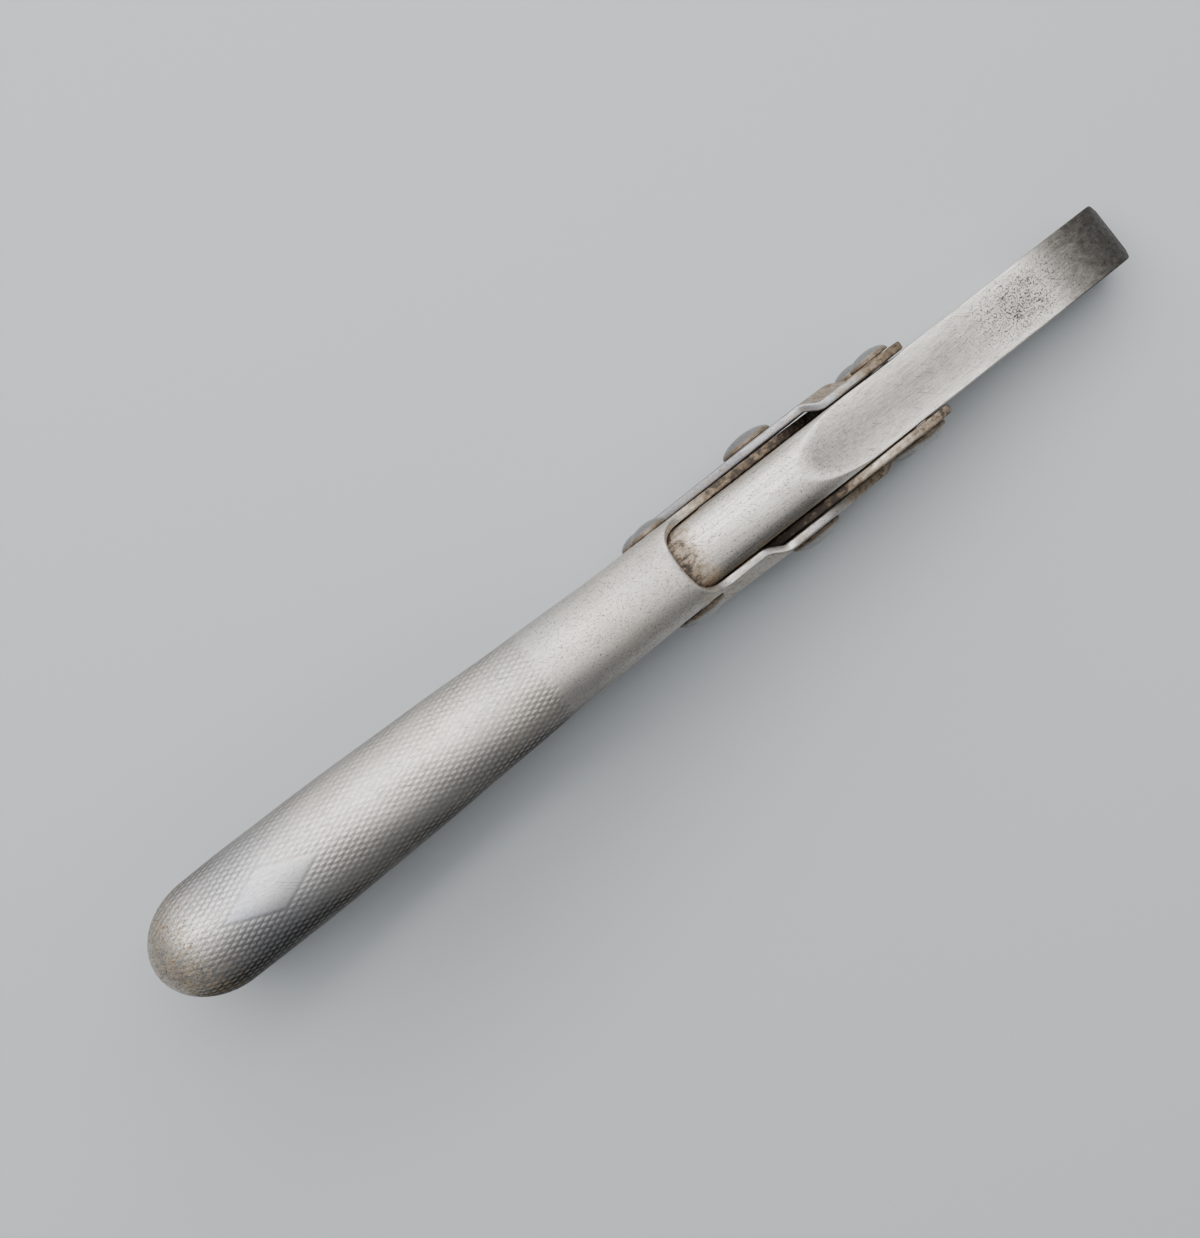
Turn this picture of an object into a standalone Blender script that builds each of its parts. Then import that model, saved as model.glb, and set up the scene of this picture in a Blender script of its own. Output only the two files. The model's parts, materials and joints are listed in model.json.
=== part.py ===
"""Parallel-jaw gas pliers, nominal 165 mm, modelled closed and standing on edge.

The tool frame has the pivot at its origin, X towards the nose, Y to the left and Z up.
Two pressed handles cross at the pivot. Each handle's front end carries the jaw of the
other side on a rivet, and each handle's guide rivet slides in a slot in the tail of the
jaw on its own side, so the jaws stay parallel. The lower handle and the lower jaw are the
upper ones turned half a turn about X. An empty tilts the tool frame until the lower
handle's bow and the lower jaw's nose both touch the surface that the pliers stand on.
"""
import math

import bmesh
import bpy
import numpy as np
from mathutils import Matrix

MM = 0.001

# Linkage, closed
PIN_REACH = 19.4 * MM        # pivot to a jaw rivet, and to a guide rivet, along X
PIN_RISE = 5.6 * MM          # these rivets above or below the grip plane
OPEN_ANGLE = math.radians(34.0)  # between the handles, closed to fully open

# Fits
SIDE_PLAY = 0.2 * MM         # jaw to cheek, and cheek to cheek
PIN_PLAY = 0.15 * MM         # rivet shank to its hole, on the radius
HEAD_PLAY = 0.15 * MM        # rivet head to the sheet under it
GRIP_PLAY = 0.3 * MM         # between the closed jaws
SHELL_PLAY = 0.55 * MM       # jaw back to the handle's shell above it

# Jaws
JAW_WIDTH = 9.3 * MM
JAW_TOP = 11.5 * MM          # half-round back above the grip plane
JAW_CROWN = 2.4 * MM         # depth of the half-round
NOSE_REACH = 59.5 * MM       # pivot to the tip
TIP_HEIGHT = 2.3 * MM        # flat end of one jaw
FLAT_START = 0.4 * MM        # where the ground flat leaves the half-round, ahead of the pivot
FLAT_RAMP = 11.2 * MM        # length of the flat's steeper first stretch
FLAT_DROP = 2.25 * MM        # fall over that stretch
BACK_DROP = 2.1 * MM         # fall from there to the start of the nose
NOSE_LENGTH = 11.5 * MM      # rounded part of the back at the tip
TAIL_RELIEF = 1.5 * MM       # underside of the tail above the grip plane
TAIL_WALL = 3.2 * MM         # metal behind the slot
TEETH_START = 14.0 * MM      # first tooth ahead of the pivot
RECESS_START = 27.0 * MM     # round recess for pipe, ahead of the pivot
RECESS_LENGTH = 18.0 * MM
RECESS_DEPTH = 3.5 * MM
TOOTH_PITCH = 1.3 * MM
TOOTH_DEPTH = 0.5 * MM

# Handles, pressed from sheet
SHEET = 1.25 * MM
HANDLE_REACH = 105.5 * MM    # pivot to the handle's end
END_ROUND = 9.5 * MM         # length of the rounded end
END_CORNER = 2.5 * MM        # radius of the free edge's rear corner
BOW_RISE = 9.3 * MM          # crest of the bow above the shell's rim
BOW_CREST = 0.82             # place of the crest along the shell, from the rim
BOW_SWELL = 1.45 * MM        # extra half width at the broadest place
SWELL_CREST = 0.9            # its place along the shell
RIM_ARCH = 3.6 * MM          # depth of the arched back at the rim
END_ARCH = 6.4 * MM          # and at the end
RIM_SETBACK = 0.7 * MM       # rim behind the guide rivet
RIM_LEAN = 1.5 * MM          # rim's corners ahead of its middle
RIM_DEPTH = 13.0 * MM        # back to free edge at the rim
GRIP_DEPTH = 9.8 * MM        # back to free edge along the grip
CHEEK_RADIUS = 7.4 * MM      # cheek around the pivot
BOSS_RADIUS = 4.8 * MM       # cheek around the jaw rivet
ROOT_SETBACK = 2.4 * MM      # free edge's meeting with the cheek, ahead of the guide rivet
ROOT_PLAY = 0.35 * MM        # free edge off the grip plane there
WAIST_PLAY = 1.0 * MM        # top edge below the grip plane behind the boss
WAIST_SETBACK = 7.2 * MM     # that place behind the jaw rivet
BEND_PLAY = 1.0 * MM         # bends clear of the crossing cheek, along X
BEND_RAMP = 1.4 * MM         # width of a bend's slope
REAR_BEND_SPLAY = math.radians(7.0)   # rear bend against the crossing cheek's edge
FRONT_BEND_SLOPE = math.radians(46.0)
FRONT_BEND_PLAY = 2.4 * MM   # front bend clear of the waist, along X

# Rivets
SHANK_RADIUS = 2.1 * MM
PIVOT_SHANK_RADIUS = 2.6 * MM
PIVOT_SINK = 0.6 * MM        # countersink of a pivot rivet's inner end
PIVOT_HEAD = (4.0 * MM, 1.55 * MM)    # radius and height of the dome
JAW_HEAD = (3.15 * MM, 1.5 * MM)
GUIDE_HEAD = (2.9 * MM, 1.45 * MM)

# Facets
ARCH_FACETS = 11
SHELL_STEPS = 15
END_STEPS = 6
ROUND_FACETS = 24
DOME_STEPS = 4
EDGE_STEPS = 4
OVERCUT = 3.0 * MM           # how far a cutter runs past what it cuts

# Worked out from the sizes above
CHEEK_IN = JAW_WIDTH / 2 + SIDE_PLAY
CHEEK_OUT = CHEEK_IN + SHEET
JOGGLE = SHEET + SIDE_PLAY
RIM_TOP = JAW_TOP + SHELL_PLAY + SHEET
RIM_X = -PIN_REACH - RIM_SETBACK
SHELL_LENGTH = HANDLE_REACH - END_ROUND + RIM_X
ARM = math.hypot(PIN_REACH, PIN_RISE)
ARM_ANGLE = math.atan2(PIN_RISE, PIN_REACH)
SLOT_TRAVEL = 2 * ARM * (math.cos(ARM_ANGLE) - math.cos(ARM_ANGLE + OPEN_ANGLE / 2))
ROOT = (ROOT_SETBACK - PIN_REACH, ROOT_PLAY)
CHEEK_LOW = -PIN_RISE - BOSS_RADIUS - OVERCUT
CHEEK_FRONT = PIN_REACH + BOSS_RADIUS + OVERCUT


def clear_scene():
    """Remove every object, so that the file holds only this model."""
    for item in list(bpy.data.objects):
        bpy.data.objects.remove(item, do_unlink=True)


def new_collection(name):
    """A collection linked to the scene."""
    group = bpy.data.collections.new(name)
    bpy.context.scene.collection.children.link(group)
    return group


def steel(name, colour, roughness):
    """A bare steel with its own colour and roughness."""
    finish = bpy.data.materials.new(name)
    finish.use_nodes = True
    shader = finish.node_tree.nodes["Principled BSDF"]
    shader.inputs["Base Color"].default_value = (*colour, 1.0)
    shader.inputs["Metallic"].default_value = 1.0
    shader.inputs["Roughness"].default_value = roughness
    return finish


def arc(centre, radius, start, end, steps):
    """Points on a circle from one angle to another, in degrees."""
    angles = np.radians(np.linspace(start, end, steps + 1))
    return [(centre[0] + radius * math.cos(a), centre[1] + radius * math.sin(a)) for a in angles]


def smooth_through(points, steps):
    """A Catmull-Rom curve through the points."""
    knots = [np.array(p) for p in points]
    knots = [2 * knots[0] - knots[1]] + knots + [2 * knots[-1] - knots[-2]]
    curve = []
    for a, b, c, d in zip(knots, knots[1:], knots[2:], knots[3:]):
        for t in np.arange(steps) / steps:
            curve.append(tuple(0.5 * (2 * b + (c - a) * t + (2 * a - 5 * b + 4 * c - d) * t * t
                                      + (3 * b - a - 3 * c + d) * t ** 3)))
    return curve + [tuple(points[-1])]


def evaluated_mesh(item):
    """The object's mesh with its modifiers applied."""
    bpy.context.view_layer.update()
    graph = bpy.context.evaluated_depsgraph_get()
    return bpy.data.meshes.new_from_object(item.evaluated_get(graph))


def weld(mesh):
    """Merge a mesh's doubled points and turn its faces outwards."""
    shape = bmesh.new()
    shape.from_mesh(mesh)
    bmesh.ops.remove_doubles(shape, verts=shape.verts, dist=0.001 * MM)
    bmesh.ops.recalc_face_normals(shape, faces=shape.faces)
    shape.to_mesh(mesh)
    shape.free()


def plate(name, outline, half_thickness, across="Y"):
    """A flat outline extruded both ways along Y, or along X for a cross-section."""
    path = bpy.data.curves.new(name, "CURVE")
    path.dimensions = "2D"
    path.fill_mode = "BOTH"
    path.extrude = half_thickness
    line = path.splines.new("POLY")
    line.points.add(len(outline) - 1)
    for point, (u, v) in zip(line.points, outline):
        point.co = (u, v, 0.0, 1.0)
    line.use_cyclic_u = True
    sketch = bpy.data.objects.new(name, path)
    bpy.context.scene.collection.objects.link(sketch)
    mesh = evaluated_mesh(sketch)
    bpy.data.objects.remove(sketch)
    upright = Matrix.Rotation(math.pi / 2, 4, "X")
    turn = upright if across == "Y" else Matrix.Rotation(math.pi / 2, 4, "Z") @ upright
    mesh.transform(turn)
    weld(mesh)
    return bpy.data.objects.new(name, mesh)


def pin_cutter(name, radius, centre, y_low, y_high, sink=0.0):
    """A round cutter along Y that widens by the sink at its low end."""
    shape = bmesh.new()
    bmesh.ops.create_cone(shape, cap_ends=True, segments=ROUND_FACETS, radius1=radius + sink,
                          radius2=radius, depth=y_high - y_low)
    mesh = bpy.data.meshes.new(name)
    shape.to_mesh(mesh)
    shape.free()
    mesh.transform(Matrix.Rotation(-math.pi / 2, 4, "X"))
    mesh.transform(Matrix.Translation((centre[0], (y_low + y_high) / 2, centre[1])))
    weld(mesh)
    return bpy.data.objects.new(name, mesh)


def cut(blank, cutter, operation, cutters):
    """Add a Boolean with a hidden cutter to a blank."""
    cutters.objects.link(cutter)
    cutter.hide_render = True
    cutter.display_type = "WIRE"
    step = blank.modifiers.new(cutter.name, "BOOLEAN")
    step.operation = operation
    step.solver = "EXACT"
    step.object = cutter


def finished_mesh(blank, name, origin):
    """The blank's final mesh, moved so that its origin lies on its joint's axis."""
    mesh = evaluated_mesh(blank)
    mesh.name = name
    mesh.transform(Matrix.Translation((-origin[0], 0.0, -origin[1])))
    mesh.shade_smooth()
    mesh.set_sharp_from_angle(angle=math.radians(30))
    bpy.data.objects.remove(blank)
    return mesh


def shell_height(share):
    """Height of the handle's back at a share of the shell's length behind the rim."""
    return RIM_TOP + BOW_RISE * math.sin(share * math.pi / 2 / BOW_CREST)


def shell_half_width(share):
    """Outer half width of the handle at a share of the shell's length."""
    return CHEEK_OUT + BOW_SWELL * (1 - math.cos(share * math.pi / SWELL_CREST)) / 2


def shell_arch(share):
    """Depth of the arched back at a share of the shell's length."""
    return RIM_ARCH + (END_ARCH - RIM_ARCH) * share


def free_edge(share):
    """Height of the wall's free edge, which draws up from the rim towards the grip."""
    t = min(1.0, share / 0.45)
    ease = t * t * (3 - 2 * t)
    return shell_height(share) - RIM_DEPTH + (RIM_DEPTH - GRIP_DEPTH) * ease


def section(x, half_width, spring, arch):
    """One inverted U: the right wall, the elliptic arch and the left wall."""
    angles = np.linspace(0.0, math.pi, ARCH_FACETS + 1)
    over = [(x, -half_width * math.cos(a), spring + arch * math.sin(a)) for a in angles]
    return [(x, -half_width, CHEEK_LOW)] + over + [(x, half_width, CHEEK_LOW)]


def shell_sections():
    """The U sections from the front of the cheeks to the domed end of the handle."""
    spring = RIM_TOP - RIM_ARCH
    rows = [section(x, CHEEK_OUT, spring, RIM_ARCH) for x in (CHEEK_FRONT, 0.0)]
    for share in np.linspace(0.0, 1.0, SHELL_STEPS + 1):
        spring = shell_height(share) - shell_arch(share)
        x = RIM_X - share * SHELL_LENGTH
        rows.append(section(x, shell_half_width(share), spring, shell_arch(share)))
    for angle in np.linspace(0.0, math.pi / 2, END_STEPS + 1)[1:]:
        x = RIM_X - SHELL_LENGTH - END_ROUND * math.sin(angle)
        shrink = math.cos(angle)
        rows.append(section(x, shell_half_width(1.0) * shrink, spring, shell_arch(1.0) * shrink))
    return rows


def bend_lines():
    """Each bend of the joggled cheek: a point of its inner line and the way into the joggle."""
    reach = math.hypot(*ROOT)
    slope = math.asin(CHEEK_RADIUS / reach) + math.atan2(ROOT[1], -ROOT[0]) + REAR_BEND_SPLAY
    rear = (ROOT[0] - BEND_PLAY, 0.0), (math.sin(slope), -math.cos(slope))
    front_x = PIN_REACH - WAIST_SETBACK + FRONT_BEND_PLAY
    front = (front_x, 0.0), (-math.sin(FRONT_BEND_SLOPE), math.cos(FRONT_BEND_SLOPE))
    return rear, front


def press_joggle(shape):
    """Offset the right cheek outwards between its two bends, so that the cheeks can cross."""
    bends = bend_lines()
    for point, inward in bends:
        for setback in (0.0, BEND_RAMP):
            wall = [f for f in shape.faces if all(v.co.y < 0 and v.co.z < RIM_TOP for v in f.verts)
                    and f.calc_center_median().x > RIM_X - OVERCUT - BEND_RAMP / math.sin(OPEN_ANGLE)]
            pieces = wall + list({e for f in wall for e in f.edges})
            pieces += list({v for f in wall for v in f.verts})
            place = (point[0] - inward[0] * setback, 0.0, point[1] - inward[1] * setback)
            bmesh.ops.bisect_plane(shape, geom=pieces, dist=0.001 * MM, plane_co=place,
                                   plane_no=(inward[0], 0.0, inward[1]))
    for vert in shape.verts:
        if vert.co.y > -CHEEK_IN:
            continue
        past = [(vert.co.x - p[0]) * n[0] + (vert.co.z - p[1]) * n[1] for p, n in bends]
        vert.co.y -= JOGGLE * min(1.0, max(0.0, 1.0 + min(past) / BEND_RAMP))


def handle_side_outline():
    """Side view of the upper handle, used to trim the pressed shell."""
    over = shell_height(BOW_CREST) + OVERCUT
    end_x = -HANDLE_REACH
    top = [(RIM_X, RIM_TOP + OVERCUT), (RIM_X, RIM_TOP)]
    waist_x = PIN_REACH - WAIST_SETBACK
    cheek_top = smooth_through([
        (RIM_X + RIM_LEAN, RIM_TOP - RIM_ARCH),
        (RIM_X + 2 * RIM_LEAN, RIM_TOP - 1.05 * RIM_ARCH),
        (-0.8 * CHEEK_RADIUS, 1.17 * CHEEK_RADIUS),
        (0.3 * CHEEK_RADIUS, 0.92 * CHEEK_RADIUS),
        (waist_x - 0.6 * WAIST_SETBACK, 0.3 * CHEEK_RADIUS),
        (waist_x, -WAIST_PLAY),
        (PIN_REACH, BOSS_RADIUS - PIN_RISE)], EDGE_STEPS)
    boss = arc((PIN_REACH, -PIN_RISE), BOSS_RADIUS, 90, -105, 12)[1:]
    reach = math.hypot(*ROOT)
    tangent = math.asin(CHEEK_RADIUS / reach) + math.atan2(ROOT[1], -ROOT[0])
    bottom = arc((0.0, 0.0), CHEEK_RADIUS, -80, -90 - math.degrees(tangent), 5)
    edge = [(RIM_X - s * SHELL_LENGTH, free_edge(s)) for s in np.linspace(0.0, 1.0, SHELL_STEPS + 1)]
    low = free_edge(1.0)
    corner = arc((end_x + END_CORNER, low + END_CORNER), END_CORNER, 270, 180, 4)
    rear = [(end_x - OVERCUT, low + END_CORNER), (end_x - OVERCUT, over), (RIM_X - OVERCUT, over)]
    return top + cheek_top + boss + bottom + [ROOT] + edge + corner + rear


def make_handle_mesh(cutters):
    """The pressed handle: an arched shell behind, one straight and one joggled cheek in front."""
    shape = bmesh.new()
    rows = [[shape.verts.new(p) for p in row] for row in shell_sections()]
    for row, behind in zip(rows, rows[1:]):
        for i in range(len(row) - 1):
            shape.faces.new((row[i], row[i + 1], behind[i + 1], behind[i]))
    bmesh.ops.remove_doubles(shape, verts=shape.verts, dist=0.001 * MM)
    bmesh.ops.dissolve_degenerate(shape, edges=shape.edges, dist=0.001 * MM)
    bmesh.ops.recalc_face_normals(shape, faces=shape.faces)
    if max(shape.faces, key=lambda f: f.calc_center_median().z).normal.z < 0:
        bmesh.ops.reverse_faces(shape, faces=shape.faces)
    press_joggle(shape)
    mesh = bpy.data.meshes.new("handle_blank")
    shape.to_mesh(mesh)
    shape.free()
    blank = bpy.data.objects.new("handle_blank", mesh)
    bpy.context.scene.collection.objects.link(blank)
    wall = blank.modifiers.new("sheet", "SOLIDIFY")
    wall.thickness = SHEET
    wall.offset = -1.0
    wall.use_even_offset = True
    far = CHEEK_OUT + JOGGLE + BOW_SWELL + OVERCUT
    cut(blank, plate("handle_outline", handle_side_outline(), far), "INTERSECT", cutters)
    hole = SHANK_RADIUS + PIN_PLAY
    cut(blank, pin_cutter("boss_hole", hole, (PIN_REACH, -PIN_RISE), -far, far), "DIFFERENCE", cutters)
    cut(blank, pin_cutter("guide_hole", hole, (-PIN_REACH, PIN_RISE), -far, far), "DIFFERENCE", cutters)
    hole = PIVOT_SHANK_RADIUS + PIN_PLAY
    cut(blank, pin_cutter("pivot_hole", hole, (0.0, 0.0), -far, far), "DIFFERENCE", cutters)
    sink = pin_cutter("pivot_sink", hole, (0.0, 0.0), CHEEK_IN, CHEEK_IN + PIVOT_SINK, PIVOT_SINK)
    cut(blank, sink, "DIFFERENCE", cutters)
    return finished_mesh(blank, "handle_pressing", (0.0, 0.0))


def teeth_on_line(start, end):
    """Crests and roots of the cross teeth along a flat stretch of the grip face."""
    count = max(1, round((end - start) / TOOTH_PITCH))
    pitch = (end - start) / count
    points = []
    for i in range(count):
        points.append((start + i * pitch, GRIP_PLAY / 2))
        points.append((start + (i + 0.5) * pitch, GRIP_PLAY / 2 + TOOTH_DEPTH))
    return points


def teeth_in_recess():
    """Crests and roots of the cross teeth round the pipe recess, a shallow circular arc."""
    radius = (RECESS_LENGTH ** 2 / 4 + RECESS_DEPTH ** 2) / (2 * RECESS_DEPTH)
    middle = (RECESS_START + RECESS_LENGTH / 2, GRIP_PLAY / 2 + RECESS_DEPTH - radius)
    half = math.asin(RECESS_LENGTH / 2 / radius)
    count = max(1, round(2 * half * radius / TOOTH_PITCH))
    points = []
    for i in range(2 * count):
        angle = -half + i * half / count
        reach = radius + TOOTH_DEPTH * (i % 2)
        points.append((middle[0] + reach * math.sin(angle), middle[1] + reach * math.cos(angle)))
    return points


def jaw_side_outline():
    """Side view of the upper jaw, from its tail forwards along the grip face and back."""
    tail = -PIN_REACH - SHANK_RADIUS - PIN_PLAY - TAIL_WALL
    recess_end = RECESS_START + RECESS_LENGTH
    grip = [(tail, TAIL_RELIEF), (TEETH_START - TAIL_RELIEF, TAIL_RELIEF)]
    grip += teeth_on_line(TEETH_START, RECESS_START)
    grip += teeth_in_recess()
    grip += teeth_on_line(recess_end, NOSE_REACH)
    tip = [(NOSE_REACH, GRIP_PLAY / 2), (NOSE_REACH, TIP_HEIGHT)]
    ramp_end = (FLAT_START + FLAT_RAMP, JAW_TOP - FLAT_DROP)
    nose_start = (NOSE_REACH - NOSE_LENGTH, ramp_end[1] - BACK_DROP)
    lean = (nose_start[1] - ramp_end[1]) / (nose_start[0] - ramp_end[0])
    shoulder = (NOSE_REACH - 0.2 * NOSE_LENGTH, nose_start[1] + 0.8 * NOSE_LENGTH * lean)
    nose = []
    for t in np.linspace(0.0, 1.0, 9)[1:]:
        nose.append(tuple((1 - t) ** 2 * np.array(tip[-1]) + 2 * t * (1 - t) * np.array(shoulder)
                          + t * t * np.array(nose_start)))
    rise = OVERCUT / 4
    lift = (FLAT_START - rise * FLAT_RAMP / FLAT_DROP, JAW_TOP + rise)
    return grip + tip + nose + [ramp_end, lift, (tail, JAW_TOP + rise)]


def jaw_cross_section():
    """Front view of the upper jaw: straight sides under a half-round back."""
    half = JAW_WIDTH / 2
    angles = np.linspace(0.0, math.pi, ARCH_FACETS + 2)
    crown = [(half * math.cos(a), JAW_TOP - JAW_CROWN + JAW_CROWN * math.sin(a)) for a in angles]
    return [(-half, -OVERCUT), (half, -OVERCUT)] + crown


def slot_outline():
    """The slot for the guide rivet: its travel and play, with round ends."""
    radius = SHANK_RADIUS + PIN_PLAY
    back = arc((-PIN_REACH - PIN_PLAY, PIN_RISE), radius, 90, 270, ROUND_FACETS // 2)
    front = arc((SLOT_TRAVEL + PIN_PLAY - PIN_REACH, PIN_RISE), radius, -90, 90, ROUND_FACETS // 2)
    return back + front


def make_jaw_mesh(cutters):
    """The forged jaw: half-round back with a ground flat, toothed grip face and slotted tail."""
    blank = plate("jaw_blank", jaw_side_outline(), JAW_WIDTH)
    bpy.context.scene.collection.objects.link(blank)
    form = plate("jaw_form", jaw_cross_section(), NOSE_REACH + PIN_REACH, across="X")
    cut(blank, form, "INTERSECT", cutters)
    cut(blank, plate("guide_slot", slot_outline(), JAW_WIDTH), "DIFFERENCE", cutters)
    hole = pin_cutter("jaw_hole", SHANK_RADIUS + PIN_PLAY, (PIN_REACH, PIN_RISE), -JAW_WIDTH, JAW_WIDTH)
    cut(blank, hole, "DIFFERENCE", cutters)
    return finished_mesh(blank, "jaw_forging", (PIN_REACH, PIN_RISE))


def dome(head, seat):
    """Half profile of a domed head above its seat, from the top of the dome to its rim."""
    radius, height = head
    angles = np.linspace(math.pi / 2, 0.0, DOME_STEPS + 1)
    return [(radius * math.cos(a), seat + height * math.sin(a)) for a in angles]


def turned(name, profile):
    """A turned piece: a half profile, top to bottom, swept once round and laid along Y."""
    mesh = bpy.data.meshes.new(name)
    edges = [(i, i + 1) for i in range(len(profile) - 1)]
    mesh.from_pydata([(r, 0.0, h) for r, h in profile], edges, [])
    piece = bpy.data.objects.new(name, mesh)
    sweep = piece.modifiers.new("turn", "SCREW")
    sweep.axis = "Z"
    sweep.steps = ROUND_FACETS
    sweep.render_steps = ROUND_FACETS
    sweep.use_merge_vertices = True
    sweep.merge_threshold = 0.001 * MM
    sweep.use_smooth_shade = True
    piece.rotation_euler = (-math.pi / 2, 0.0, 0.0)
    return piece


def through_rivet(name, head):
    """A rivet through both cheeks and the jaw between them, with a dome at each end."""
    seat = CHEEK_OUT + HEAD_PLAY
    upper = dome(head, seat) + [(SHANK_RADIUS, seat)]
    lower = [(r, -h) for r, h in reversed(upper)]
    upper[0] = (0.0, upper[0][1])
    lower[-1] = (0.0, lower[-1][1])
    return turned(name, upper + lower)


def pivot_rivet(name):
    """A short pivot rivet: domed outside, countersunk flush inside, so the throat stays open."""
    seat = CHEEK_OUT + JOGGLE + HEAD_PLAY
    outside = dome(PIVOT_HEAD, seat) + [(PIVOT_SHANK_RADIUS, seat)]
    outside[0] = (0.0, outside[0][1])
    inner = CHEEK_IN + PIN_PLAY / 2
    waist = (PIVOT_SHANK_RADIUS, inner + PIVOT_SINK)
    return turned(name, outside + [waist, (PIVOT_SHANK_RADIUS + PIVOT_SINK - PIN_PLAY, inner), (0.0, inner)])


def place(piece, parts, stand, finish, at=(0.0, 0.0), turn=0.0):
    """Hang a piece on the stand, at a place in the tool frame, turned about X."""
    parts.objects.link(piece)
    piece.parent = stand
    piece.location = (at[0], 0.0, at[1])
    piece.rotation_euler.x += turn
    piece.data.materials.clear()
    piece.data.materials.append(finish)


def stand_on_edge(stand, handle, jaw, parts):
    """Tilt the tool until the handle's bow and the jaw's nose touch, then centre it over them."""
    bpy.context.view_layer.update()
    graph = bpy.context.evaluated_depsgraph_get()

    def points(item):
        mesh = item.evaluated_get(graph).data
        flat = np.empty(3 * len(mesh.vertices))
        mesh.vertices.foreach_get("co", flat)
        frame = np.array(item.matrix_world)
        return flat.reshape(-1, 3) @ frame[:3, :3].T + frame[:3, 3]

    bow = points(handle)
    nose = points(jaw)
    low, high = 0.0, math.pi / 6
    for _ in range(60):
        tilt = (low + high) / 2
        drop = [np.min(p[:, 2] * math.cos(tilt) - p[:, 0] * math.sin(tilt)) for p in (bow, nose)]
        low, high = (tilt, high) if drop[0] < drop[1] else (low, tilt)
    every = np.concatenate([points(item) for item in parts.objects])
    level = np.array(Matrix.Rotation(tilt, 3, "Y"))
    turned_points = every @ level.T
    lowest = turned_points.min(axis=0)
    highest = turned_points.max(axis=0)
    stand.rotation_euler = (0.0, tilt, 0.0)
    stand.location = (-(lowest[0] + highest[0]) / 2, -(lowest[1] + highest[1]) / 2, -lowest[2])


def main():
    """Build the pliers."""
    clear_scene()
    parts = new_collection("gas_pliers")
    cutters = new_collection("cutters")
    stand = bpy.data.objects.new("tool_frame", None)
    parts.objects.link(stand)
    handle_steel = steel("handle_steel", (0.36, 0.35, 0.33), 0.42)
    jaw_steel = steel("jaw_steel", (0.44, 0.43, 0.41), 0.36)
    rivet_steel = steel("rivet_steel", (0.38, 0.38, 0.38), 0.34)
    half_turn = math.pi
    pressing = make_handle_mesh(cutters)
    forging = make_jaw_mesh(cutters)
    handles = {}
    jaws = {}
    for side, sign, turn in (("upper", 1, 0.0), ("lower", -1, half_turn)):
        handles[side] = bpy.data.objects.new("handle_" + side, pressing)
        place(handles[side], parts, stand, handle_steel, turn=turn)
        jaws[side] = bpy.data.objects.new("jaw_" + side, forging)
        place(jaws[side], parts, stand, jaw_steel, (PIN_REACH, sign * PIN_RISE), turn)
        rivet = through_rivet("jaw_rivet_" + side, JAW_HEAD)
        place(rivet, parts, stand, rivet_steel, (PIN_REACH, sign * PIN_RISE))
        rivet = through_rivet("guide_rivet_" + side, GUIDE_HEAD)
        place(rivet, parts, stand, rivet_steel, (-PIN_REACH, sign * PIN_RISE))
    for side, turn in (("left", 0.0), ("right", half_turn)):
        place(pivot_rivet("pivot_rivet_" + side), parts, stand, rivet_steel, turn=turn)
    parts.objects.unlink(stand)
    stand_on_edge(stand, handles["lower"], jaws["lower"], parts)
    parts.objects.link(stand)
    for cutter in cutters.objects:
        cutter.parent = stand


main()
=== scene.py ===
"""Looks of a pair of parallel-jaw gas pliers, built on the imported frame.

Every piece is worked out with numpy in the tool frame, in millimetres: the pivot is its
origin, X runs to the nose, Y to the left and Z up. to_frame() then tilts it and moves it
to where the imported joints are, in metres.
"""
import json
import math
from itertools import chain

import bmesh
import bpy
import numpy as np
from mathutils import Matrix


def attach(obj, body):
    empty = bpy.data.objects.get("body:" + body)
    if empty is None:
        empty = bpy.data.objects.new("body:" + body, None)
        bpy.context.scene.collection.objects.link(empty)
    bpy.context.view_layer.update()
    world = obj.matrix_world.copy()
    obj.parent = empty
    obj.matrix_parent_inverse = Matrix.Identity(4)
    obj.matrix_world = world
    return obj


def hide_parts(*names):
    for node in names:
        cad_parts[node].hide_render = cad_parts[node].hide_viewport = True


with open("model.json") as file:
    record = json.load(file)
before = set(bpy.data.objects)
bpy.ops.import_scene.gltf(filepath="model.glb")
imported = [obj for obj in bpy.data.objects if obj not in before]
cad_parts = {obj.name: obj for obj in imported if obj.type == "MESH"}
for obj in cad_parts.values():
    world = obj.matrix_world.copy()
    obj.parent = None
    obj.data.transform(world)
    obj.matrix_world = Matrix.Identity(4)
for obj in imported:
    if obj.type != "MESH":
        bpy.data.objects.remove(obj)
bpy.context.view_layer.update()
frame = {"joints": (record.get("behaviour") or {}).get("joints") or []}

TO_MM = 1000.0
TO_METRES = 0.001

# The frame's joints give the tilt, the pivot and the rivets' places
JOINTS = {joint["name"]: np.array(joint["pos_m"]) * TO_MM for joint in frame["joints"]}
PIVOT = JOINTS["handle_pivot"]
RISE_AXIS = JOINTS["upper_jaw_pivot"] - JOINTS["lower_jaw_pivot"]
TILT = math.atan2(RISE_AXIS[0], RISE_AXIS[2])
PIN_RISE = math.hypot(RISE_AXIS[0], RISE_AXIS[2]) / 2
PIN_REACH = math.hypot(*((JOINTS["upper_jaw_pivot"] + JOINTS["lower_jaw_pivot"]) / 2 - PIVOT)[[0, 2]])

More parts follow.
